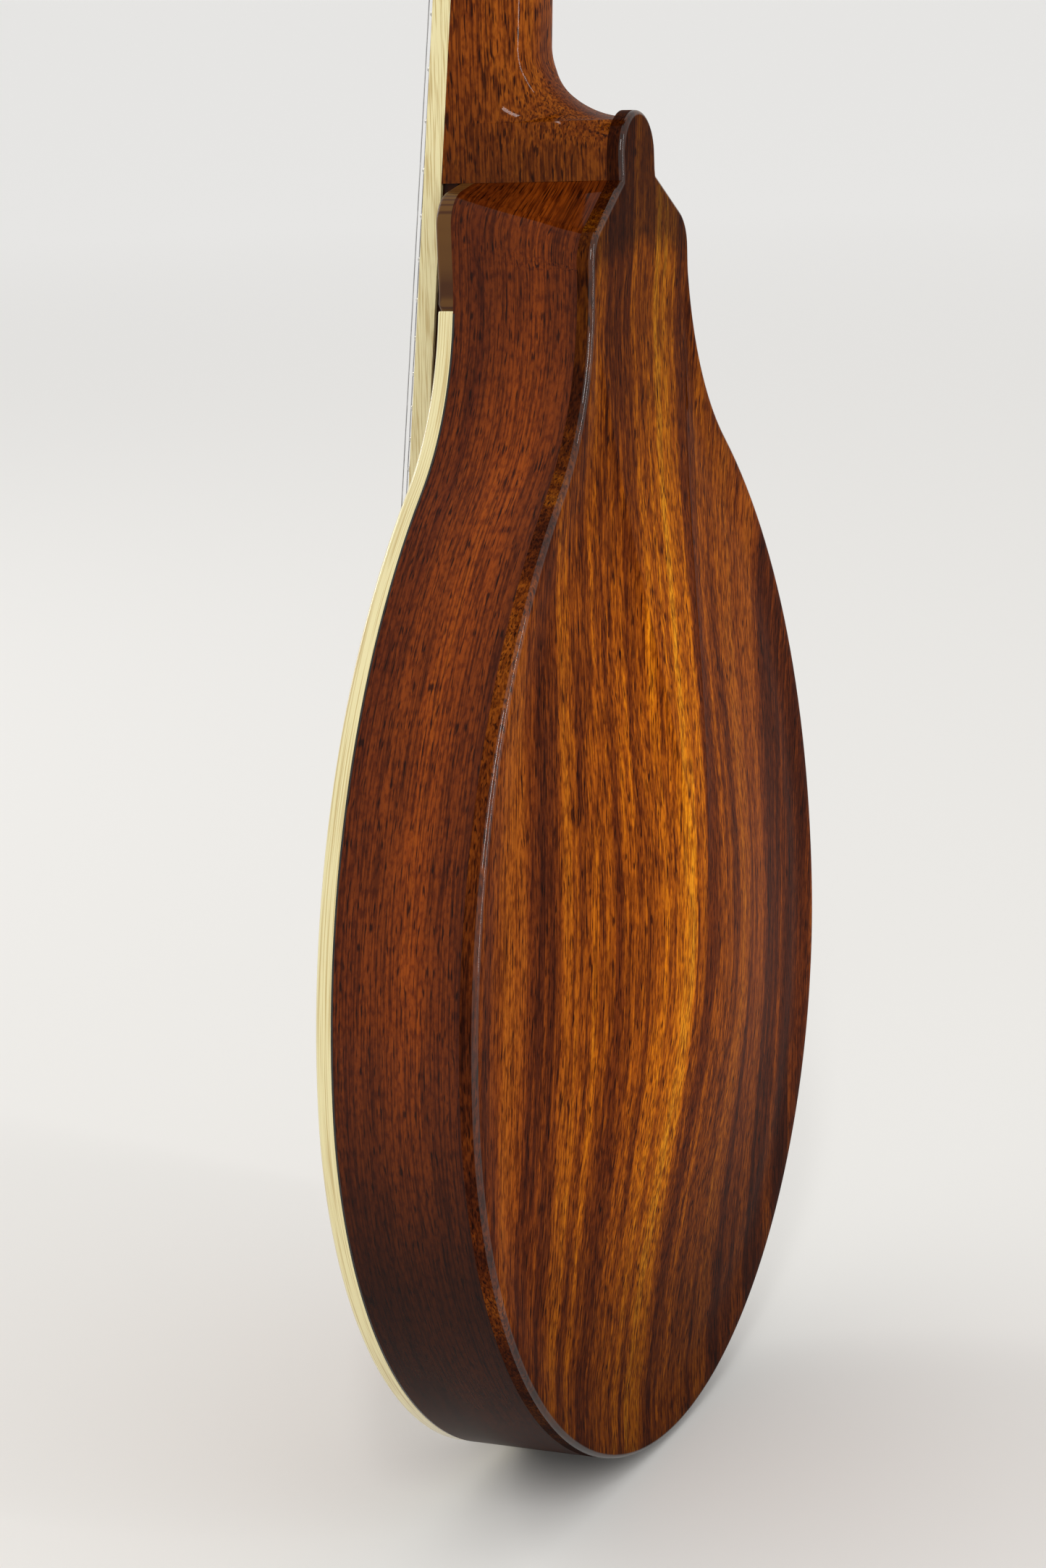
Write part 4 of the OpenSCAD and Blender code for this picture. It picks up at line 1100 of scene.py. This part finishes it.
def mirrored_levels(outline: Sequence[Flat], depth: float, chamfer: float) -> list[list[Point]]:
    """Rows of a slab with rounded back edges, from its face down to its back."""
    rows = [[(x, 0.0, z) for x, z in outline]]
    closed = list(outline)
    for k in range(0, 6):
        a = math.radians(90 * k / 5)
        by = chamfer * (1 - math.cos(a))
        pulled = pull_in(closed, by)
        rows.append([(x, -depth + chamfer - chamfer * math.sin(a), z) for x, z in pulled])
    return rows


def pull_in(outline: Sequence[Flat], by: float) -> list[Flat]:
    """Moves each point of a closed outline inwards."""
    n, out = len(outline), []
    for i, (x, z) in enumerate(outline):
        a, b = outline[i - 1], outline[(i + 1) % n]
        d = math.hypot(b[0] - a[0], b[1] - a[1]) or 1.0
        out.append((x - by * (b[1] - a[1]) / d, z + by * (b[0] - a[0]) / d))
    return out


# ---------- strings and frets, made with Geometry Nodes ----------


def plain_mesh(name: str, points: Sequence[Point], edges: Sequence[tuple[int, int]]) -> Mesh:
    """A mesh of points and edges in millimetres."""
    mesh = bpy.data.meshes.new(name)
    mesh.from_pydata([tuple(c * MM for c in p) for p in points], edges, [])
    return mesh


def mark(mesh: Mesh, label: str, values: Sequence[float]) -> None:
    """Stores one number on each point."""
    mesh.attributes.new(label, "FLOAT", "POINT").data.foreach_set("value", values)


def new_tree(name: str, inputs: dict[str, tuple[str, float]]) -> tuple[Tree, dict]:
    """Starts a Geometry Nodes tree.

    Args:
        name: The tree's name.
        inputs: Type and value of each input, by its name.

    Returns:
        The tree, and its nodes for input and output.
    """
    tree = bpy.data.node_groups.new(name, "GeometryNodeTree")
    tree.interface.new_socket("Geometry", in_out="INPUT", socket_type="NodeSocketGeometry")
    for label, (kind, value) in inputs.items():
        socket = tree.interface.new_socket(label, in_out="INPUT", socket_type=kind)
        if value is not None:
            socket.default_value = value
    tree.interface.new_socket("Geometry", in_out="OUTPUT", socket_type="NodeSocketGeometry")
    ends = {"in": add_node(tree, "NodeGroupInput"), "out": add_node(tree, "NodeGroupOutput")}
    return tree, ends


def point_value(tree: Tree, label: str) -> Socket:
    """Reads a number that the points store, in a Geometry Nodes tree."""
    return add_node(
        tree, "GeometryNodeInputNamedAttribute", {"Name": label}, data_type="FLOAT"
    ).outputs["Attribute"]


def dress(tree: Tree, geometry: Socket, finish: Socket, **only) -> Socket:
    """Gives geometry a material, in a Geometry Nodes tree.

    Args:
        tree: The tree.
        geometry: The geometry.
        finish: The material.
        only: The socket that picks the faces, as Selection, if not all get it.

    Returns:
        The geometry with its material.
    """
    inputs = {"Geometry": geometry, "Material": finish, **only}
    return add_node(tree, "GeometryNodeSetMaterial", inputs).outputs[0]


def grow(mesh: Mesh, tree: Tree, values: dict) -> Piece:
    """Runs a tree on a mesh and keeps the result as a plain mesh.

    Args:
        mesh: What the tree starts from.
        tree: The Geometry Nodes tree.
        values: The inputs' values, by name.
    """
    piece = in_scene(mesh.name, mesh)
    modifier = piece.modifiers.new(tree.name, "NODES")
    modifier.node_group = tree
    for socket in tree.interface.items_tree:
        if socket.in_out == "INPUT" and socket.name in values:
            modifier[socket.identifier] = values[socket.name]
    return bake(piece)


@dataclass
class Strings:
    """Four pairs of strings, from the tailpiece's hooks over saddle and nut to the posts."""

    neck: Neck = field(default_factory=Neck)
    gauges: tuple[float, ...] = (0.5, 0.32, 0.19, 0.14)
    posts: tuple[int, ...] = (1, 2, 3, 4, 8, 7, 6, 5)
    action: float = 4.2
    nut_spread: Flat = (10.4, 2.2)
    bridge_spread: Flat = (19.0, 3.0)
    nut_y: float = 1.75
    first_post: float = 36.0
    post_gap: float = 23.0
    post_x: float = 17.5
    post_r: float = 3.0
    wind_y: float = 10.6
    turns: float = 2.25
    hook_z: float = 29.0
    hook_gap: float = 3.5
    hook_r: float = 0.6
    hook_y: float = 25.7
    sides: int = 12

    @property
    def saddle(self) -> Flat:
        """Height and place of the strings on the saddle."""
        n, t = self.neck, math.radians(self.neck.tilt)
        run = n.scale - n.nut_z
        return (
            n.board_y + self.action * math.cos(t) + run * math.sin(t),
            n.outline.length + self.action * math.sin(t) - run * math.cos(t),
        )

    @staticmethod
    def spread(half: Flat, i: int) -> float:
        """Place of a string across the instrument."""
        return half[0] * (1 - 2 * (i // 2) / 3) + (half[1] if i % 2 == 0 else -half[1]) / 2

    def path(self, i: int) -> list[Point]:
        """A string's points from its loop to its last winding."""
        gauge, post = self.gauges[i // 2], self.posts[i]
        side = 1 if post <= PAIRS else -1
        z = self.first_post + self.post_gap * ((post - 1) % PAIRS)
        loop_r, x0 = self.hook_r + gauge + 0.06, (3.5 - i) * self.hook_gap
        run: list[Point] = []
        for j in range(37):
            a = math.radians(-50 - 9 * j)
            y = self.hook_y - 0.03 * j + 0.5
            run.append((x0 + loop_r * math.cos(a), y, self.hook_z + loop_r * math.sin(a)))
        run.append((self.spread(self.bridge_spread, i), *self.saddle))
        nut = (self.spread(self.nut_spread, i), self.nut_y, self.neck.nut_z + 0.5)
        run.append(self.neck.at(nut))
        r, rise = self.post_r - 0.5 + gauge + 0.08, 2 * gauge + 0.06
        for j in range(int(36 * self.turns) + 1):
            a = math.radians(180 - 10 * j)
            x, y = side * (self.post_x + r * math.cos(a)), self.wind_y + 1.3 - rise * j / 36
            run.append(self.neck.at_head((x, y, z + r * math.sin(a))))
        return run

    def build(self, wound: Material, plain: Material) -> Piece:
        """Makes all eight strings.

        Args:
            wound: Material of the two thick pairs.
            plain: Material of the two thin pairs.
        """
        points: list[Point] = []
        edges: list[tuple[int, int]] = []
        gauge: list[float] = []
        for i in range(2 * PAIRS):
            run = self.path(i)
            edges += [(len(points) + k, len(points) + k + 1) for k in range(len(run) - 1)]
            points += run
            gauge += [self.gauges[i // 2] * MM] * len(run)
        mesh = plain_mesh("strings_wound", points, edges)
        mark(mesh, "gauge", gauge)
        inputs = {
            "Sides": ("NodeSocketInt", self.sides),
            "Wound From": ("NodeSocketFloat", 0.25 * MM),
            "Wound": ("NodeSocketMaterial", None),
            "Plain": ("NodeSocketMaterial", None),
        }
        tree, ends = new_tree("string_sweep", inputs)
        given = ends["in"].outputs
        size = point_value(tree, "gauge")
        thick = add_node(
            tree,
            "FunctionNodeCompare",
            {0: size, 1: given["Wound From"]},
            data_type="FLOAT",
            operation="GREATER_THAN",
        )
        line = add_node(tree, "GeometryNodeMeshToCurve", {"Mesh": given["Geometry"]})
        sized = add_node(
            tree, "GeometryNodeSetCurveRadius", {"Curve": line.outputs[0], "Radius": size}
        )
        circle = add_node(
            tree,
            "GeometryNodeCurvePrimitiveCircle",
            {"Resolution": given["Sides"], "Radius": 1.0},
        )
        sweep = {
            "Curve": sized.outputs[0],
            "Profile Curve": circle.outputs["Curve"],
            "Scale": size,
            "Fill Caps": True,
        }
        swept = add_node(tree, "GeometryNodeCurveToMesh", sweep)
        real = add_node(tree, "GeometryNodeRealizeInstances", {"Geometry": swept.outputs[0]})
        last = dress(tree, real.outputs[0], given["Plain"])
        last = dress(tree, last, given["Wound"], Selection=thick.outputs[0])
        tree.links.new(last, ends["out"].inputs[0])
        piece = grow(mesh, tree, {"Wound": wound, "Plain": plain})
        smooth(piece.data, 50)
        return settle(piece, ["strings"])


@dataclass
class Frets:
    """Twenty frets of rounded wire, filed to a slope at their ends."""

    neck: Neck = field(default_factory=Neck)
    count: int = 20
    height: float = 1.0
    crown: float = 0.8

    def bar(self) -> Mesh:
        """One fret of half length 1, along X, whose ends are drawn in."""
        points: list[Point] = []
        faces: list[tuple[int, ...]] = []
        filed = [(-1.0, 0.1), (-0.985, 0.55), (-0.95, 1.0)]
        stations = filed + [(-x, full) for x, full in filed[::-1]]
        ring = 13
        for x, full in stations:
            for k in range(ring):
                a = math.pi * k / (ring - 1)
                points.append((x / MM, self.height * full * math.sin(a), self.crown * math.cos(a)))
        for s in range(len(stations) - 1):
            for k in range(ring):
                a, b = s * ring + k, s * ring + (k + 1) % ring
                faces.append((a, b, b + ring, a + ring))
        faces += [tuple(range(ring)), tuple(range(len(points) - ring, len(points)))]
        mesh = bpy.data.meshes.new("fret_bar")
        mesh.from_pydata([tuple(c * MM for c in p) for p in points], [], faces)
        outward(mesh)
        return mesh

    def build(self, finish: Material) -> Piece:
        """Makes all frets as instances of one bar."""
        n = self.neck
        at = [n.fret(i) for i in range(1, self.count + 1)]
        mesh = plain_mesh("fret_wires", [n.at((0.0, GLUE, z)) for z in at], [])
        mark(mesh, "half", [(n.half_at(z) - 0.1) * MM for z in at])
        bar = bpy.data.objects.new("fret_bar", self.bar())
        inputs = {
            "Bar": ("NodeSocketObject", None),
            "Tilt": ("NodeSocketFloat", math.radians(n.tilt)),
            "Metal": ("NodeSocketMaterial", None),
        }
        tree, ends = new_tree("fret_rows", inputs)
        given = ends["in"].outputs
        size = add_node(
            tree, "ShaderNodeCombineXYZ", {"X": point_value(tree, "half"), "Y": 1.0, "Z": 1.0}
        )
        turn = add_node(tree, "ShaderNodeCombineXYZ", {"X": given["Tilt"]})
        part = add_node(tree, "GeometryNodeObjectInfo", {"Object": given["Bar"]})
        rows = {
            "Points": given["Geometry"],
            "Instance": part.outputs["Geometry"],
            "Rotation": turn.outputs[0],
            "Scale": size.outputs[0],
        }
        copies = add_node(tree, "GeometryNodeInstanceOnPoints", rows)
        real = add_node(tree, "GeometryNodeRealizeInstances", {"Geometry": copies.outputs[0]})
        tree.links.new(dress(tree, real.outputs[0], given["Metal"]), ends["out"].inputs[0])
        piece = grow(mesh, tree, {"Bar": bar, "Metal": finish})
        smooth(piece.data, 50)
        bpy.data.objects.remove(bar)
        return settle(piece, ["frets"])


@dataclass
class Inlays:
    """Mother-of-pearl dots on the fingerboard and rings of purfling round the sound hole."""

    neck: Neck = field(default_factory=Neck)
    box: SoundBox = field(default_factory=SoundBox)
    dot_r: float = 2.6
    marks: tuple[int, ...] = (5, 7, 10, 12, 15)
    proud: float = 0.04
    ring_proud: float = 0.14

    def dots(self, finish: Material) -> Piece:
        """The position dots, flush with the fingerboard; the twelfth fret has two."""
        shell, n = Shell(), self.neck
        rim, face = self.proud - GLUE, self.proud
        levels = ((-0.5, self.dot_r), (rim, self.dot_r), (face, self.dot_r - 0.1))
        for fret in self.marks:
            middle = (n.fret(fret - 1) + n.fret(fret)) / 2
            for x in (-6.5, 6.5) if fret == 12 else (0.0,):
                rows = []
                for y, r in levels:
                    turns = (math.tau * k / 32 for k in range(32))
                    rows.append(
                        [n.at((x + r * math.cos(t), y, middle + r * math.sin(t))) for t in turns]
                    )
                shell.skin(rows)
        return settle(shell.object("pearl_dots", finish))

    def purfling(self, name: str, finish: Material, start: float, width: float) -> Piece:
        """One ring round the sound hole.

        Args:
            name: The piece's name.
            finish: Its material.
            start: Distance of the ring from the hole's edge.
            width: The ring's width.
        """
        shell, b, o = Shell(), self.box, self.box.outline
        table = o.reach_table
        rows = []
        for k in range(121):
            a = math.tau * k / 120
            row = []
            for d, y in ((0, -0.4), (width, -0.4), (width, self.ring_proud), (0, self.ring_proud)):
                x = (b.hole[0] + start + d) * math.sin(a)
                z = b.hole_z + (b.hole[1] + start + d) * math.cos(a)
                row.append((x, o.edge + o.height(x, z, b.top_rise, table) + y, z))
            rows.append(row)
        shell.skin(rows, caps=False)
        return settle(shell.object(name, finish))


@dataclass
class Tuners:
    """Pearl buttons on the worm shafts."""

    neck: Neck = field(default_factory=Neck)
    strings: Strings = field(default_factory=Strings)
    radius: float = 7.2
    thick: float = 2.9
    stem: float = 2.4
    worm_y: float = -18.65
    worm_up: float = 7.4
    start: float = 17.0
    squareness: float = 0.78

    def button(self, k: int, finish: Material) -> Piece:
        """One oval button with softly domed faces and a collar on its shaft."""
        shell = Shell()
        side = 1 if k <= PAIRS else -1
        z0 = self.strings.first_post + self.strings.post_gap * ((k - 1) % PAIRS) + self.worm_up
        x0 = self.strings.post_x + self.start
        rows, count = [], 28
        length = 2 * self.radius + 1.1
        for i in range(33):
            t = i / 32
            along = length * (1 - math.cos(math.pi * t)) / 2
            # Collar first, then an oval leaf
            leaf = math.sqrt(max(0.0, 1 - ((along - 1.2 - self.radius) / (self.radius - 0.1)) ** 2))
            collar = self.stem * (0.84 if i == 0 else 1.0)
            wide = max(collar if along < 4 else 0.25, (self.radius - 0.15) * leaf**0.85)
            deep = max(collar if along < 2.2 else 0.25, (self.thick - 0.05) * leaf**0.45)
            ring = []
            for j in range(count):
                a = math.tau * j / count
                up, out = math.cos(a), math.sin(a)
                y = self.worm_y + deep * math.copysign(abs(up) ** self.squareness, up)
                z = z0 + wide * math.copysign(abs(out) ** self.squareness, out)
                ring.append(self.neck.at_head((side * (x0 + along), y, z)))
            rows.append(ring)
        shell.skin(rows)
        piece = shell.object(f"pearl_button_{k}", finish, 60)
        return settle(piece, [f"tuner_button_{k}"], f"worm_{k}")


@dataclass
class SoftEdges:
    """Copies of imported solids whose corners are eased, as filed and buffed ones are."""

    angle: float = 32.0
    steps: int = 2

    def ease(
        self,
        node: str,
        slot: str,
        finish: Material,
        width: float,
        body: Body = Body.INSTRUMENT,
    ) -> Piece:
        """Replaces a node by the same shape with rounded edges.

        Args:
            node: The node.
            slot: Its material slot, which is not used.
            finish: Its material.
            width: Width of the rounding, in millimetres.
            body: The body that carries it.
        """
        mesh = bpy.data.objects[node].data.copy()
        work = bmesh.new()
        work.from_mesh(mesh)
        bmesh.ops.remove_doubles(work, verts=work.verts, dist=2e-6)
        bmesh.ops.dissolve_limit(
            work, angle_limit=math.radians(1.0), verts=work.verts, edges=work.edges
        )
        work.to_mesh(mesh)
        work.free()
        mesh.materials.clear()
        mesh.materials.append(finish)
        piece = in_scene(f"{node}_eased", mesh)
        bevel = piece.modifiers.new("ease", "BEVEL")
        bevel.width = width * MM
        bevel.segments = self.steps
        bevel.limit_method = "ANGLE"
        bevel.angle_limit = math.radians(self.angle)
        bevel.use_clamp_overlap = True
        bevel.harden_normals = False
        piece = bake(piece)
        smooth(piece.data, 35)
        return settle(piece, [node], body.value)


# ---------- lights, floor and camera ----------


@dataclass(frozen=True)
class Studio:
    """Pale floor, soft lamps and the camera at the photograph's viewing angle."""

    focal_px: float = 5365.0
    distance: float = 1045.4
    azimuth: float = -66.689
    elevation: float = 12.477
    roll: float = -2.081
    target: Point = (0.0, 17.34, 179.46)
    paper: str = "#e9e7e3"
    far_paper: str = "#fbfaf8"

    def camera(self) -> None:
        """Places the camera."""
        az, el = math.radians(self.azimuth), math.radians(self.elevation)
        back = Vector((math.sin(az) * math.cos(el), -math.cos(az) * math.cos(el), math.sin(el)))
        data = bpy.data.cameras.new("camera")
        data.sensor_width = 36.0
        data.sensor_fit = "AUTO"
        data.lens = data.sensor_width * self.focal_px / IMAGE_HEIGHT
        data.clip_start = 0.01
        camera = in_scene("camera", data)
        turn = back.to_track_quat("Z", "Y").to_matrix().to_4x4()
        camera.matrix_world = turn @ Matrix.Rotation(math.radians(self.roll), 4, "Z")
        camera.location = (Vector(self.target) + back * self.distance) * MM
        bpy.context.scene.camera = camera

    def lamp(self, name: str, place: Point, aim: Point, size: Flat, power: float) -> None:
        """Adds one soft box."""
        data = bpy.data.lights.new(name, "AREA")
        data.shape = "RECTANGLE"
        data.size, data.size_y = size
        data.energy = power
        lamp = in_scene(name, data)
        lamp.location = place
        lamp.rotation_euler = (Vector(place) - Vector(aim)).to_track_quat("Z", "Y").to_euler()

    def set_up(self) -> None:
        """Makes the world, the lamps, the floor and the camera."""
        scene = bpy.context.scene
        scene.view_settings.view_transform = "Standard"
        world = bpy.data.worlds.new("studio")
        scene.world = world
        world.use_nodes = True
        tree = world.node_tree
        tree.nodes.clear()
        rays = add_node(tree, "ShaderNodeLightPath").outputs
        seen = reckon(tree, "MAXIMUM", rays["Is Camera Ray"], rays["Is Glossy Ray"])
        seen = reckon(tree, "MAXIMUM", seen, rays["Is Transmission Ray"])
        soft, shown = (
            add_node(tree, "ShaderNodeBackground", {"Color": linear(code), "Strength": power})
            for code, power in (("#ffffff", 0.82), (self.paper, 1.0))
        )
        both = {0: seen, 1: soft.outputs[0], 2: shown.outputs[0]}
        light = add_node(tree, "ShaderNodeMixShader", both)
        add_node(tree, "ShaderNodeOutputWorld", {"Surface": light.outputs[0]})
        aim = (0.0, 0.0, 0.2)
        self.lamp("key", (-1.6, -0.6, 1.3), aim, (0.12, 0.9), 9.0)
        self.lamp("back_strip", (-0.35, -1.9, 0.95), (0.0, 0.0, 0.95), (0.07, 1.8), 9.0)
        self.lamp("front_fill", (0.4, 1.9, 1.1), aim, (0.3, 1.0), 8.0)
        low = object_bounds()[0][2]
        mesh = bpy.data.meshes.new("floor")
        half = 40.0
        mesh.from_pydata(
            [(-half, -half, low), (half, -half, low), (half, half, low), (-half, half, low)],
            [],
            [(0, 1, 2, 3)],
        )
        paper = bpy.data.materials.new("matt_paper")
        paper.use_nodes = True
        tree = paper.node_tree
        # Away from the lamps the paper is whiter, so that it meets the background without a line.
        place = add_node(tree, "ShaderNodeTexCoord").outputs["Object"]
        away = add_node(tree, "ShaderNodeVectorMath", {0: place}, operation="LENGTH")
        away = reckon(tree, "MULTIPLY", away.outputs["Value"], 0.2)
        tone = tint(tree, away, (0.1, self.paper), (0.9, self.far_paper))
        feed(tree, tree.nodes["Principled BSDF"], {"Base Color": tone, "Roughness": 0.9})
        mesh.materials.append(paper)
        floor = in_scene("floor", mesh)
        floor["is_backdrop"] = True
        self.camera()


def paint(finish: Material, *names: str) -> None:
    """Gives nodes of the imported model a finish."""
    for name in names:
        data = bpy.data.objects[name].data
        data.materials.clear()
        data.materials.append(finish)
        LOG.info("%s: %s", name, finish.name)


def main() -> None:
    """Builds the dressed mandolin."""
    logging.basicConfig(level=logging.INFO, format="%(message)s")
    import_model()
    mahogany = LacqueredMahogany("lacquered_mahogany", heart_x=-42.0, heart_width=76.0).build()
    rib_wood = LacqueredMahogany(
        "lacquered_rib_mahogany",
        lacquer=0.25,
        ramp=("#5e2407", "#743209", "#8a3d0a", "#994b0b"),
        wide=(16.0, 60.0, 300.0),
        contrast=0.6,
    ).build()
    neck_wood = LacqueredMahogany(
        "lacquered_neck_mahogany",
        lacquer=0.16,
        ramp=("#6e2f09", "#8c450d", "#a65a12", "#b56a18"),
        wide=(12.0, 200.0, 200.0),
        contrast=0.6,
    ).build()
    spruce = LacqueredSpruce("lacquered_spruce").build()
    bare = LacqueredSpruce(
        "bare_spruce", "#d9bd8a", "#b08a52", stained=False, coords=Coords.OBJECT
    ).build()
    ebony = OiledEbony("oiled_ebony").build()
    cream = GrainedIvoroid("grained_ivoroid").build()
    cream_neck = GrainedIvoroid("grained_ivoroid_neck", coords=Coords.OBJECT).build()
    nickel = Metal("polished_nickel").build()
    steel = Metal("drawn_steel", "#8f8f90", "#6c6c6e", 0.32).build()
    brass = Metal("turned_brass", "#c29a52", "#8f6c33", 0.25).build()
    bronze = Metal("wound_bronze", "#b7824b", "#8a5a2d", 0.35, (0.5, 0.5, 0.12)).build()
    black = Moulded("black_plastic").build()
    bone = Moulded("buffed_bone", "#e6dcc2", "#d5c8a6", 0.35).build()
    plain_steel = Metal("drawn_plain_steel", "#c4c4c6", "#a2a2a6", 0.25).build()
    shell_pearl = Moulded(
        "mother_of_pearl", "#e9eae6", "#b9c4c4", 0.22, (1.4, 1.4, 1.4), 0.7
    ).build()
    cream_ring = GrainedIvoroid("grained_ivoroid_ring", coords=Coords.OBJECT).build()
    pearl = Moulded("pearl_celluloid", "#efe8d6", "#cfc3a6", 0.2, (2.2, 2.2, 2.2), 0.8).build()
    box = SoundBox()
    box.back(mahogany)
    box.top(spruce)
    box.ribs(rib_wood)
    box.bindings(cream, black)
    Neck().wood(neck_wood)
    Strings().build(bronze, plain_steel)
    Frets().build(nickel)
    Inlays().dots(shell_pearl)
    for name, finish, start, width in (
        ("hole_ring_inner", black, 2.0, 0.6),
        ("hole_ring_cream", cream_ring, 2.6, 1.4),
        ("hole_ring_outer", black, 4.0, 0.6),
    ):
        Inlays().purfling(name, finish, start, width)
    for k in range(1, 2 * PAIRS + 1):
        Tuners().button(k, pearl)
    soft = SoftEdges()
    soft.ease("bridge_base", "ebony", ebony, 0.5)
    soft.ease("bridge_saddle", "ebony", ebony, 0.25, Body.SADDLE)
    soft.ease("tailpiece_cover", "nickel", nickel, 0.9, Body.COVER)
    soft.ease("tailpiece_base", "nickel", nickel, 0.25)
    soft.ease("truss_rod_cover", "black_plastic", black, 0.35)
    soft.ease("tuner_plates", "nickel", nickel, 0.25)
    soft.ease("headstock_veneer", "ebony", ebony, 0.2)
    paint(bare, "head_block", "tail_block", "linings", "cross_brace")
    paint(ebony, "fingerboard")
    paint(cream_neck, "fingerboard_binding")
    paint(bone, "nut")
    paint(steel, "truss_rod")
    paint(brass, "bridge_posts", "bass_thumbwheel", "treble_thumbwheel", "truss_rod_nut")
    paint(nickel, "wood_screws", "post_ferrules")
    for k in range(1, 2 * PAIRS + 1):
        paint(nickel, f"worm_shaft_{k}", f"string_post_{k}")
        paint(brass, f"tuner_gear_{k}")
    Studio().set_up()


if __name__ == "__main__":
    main()
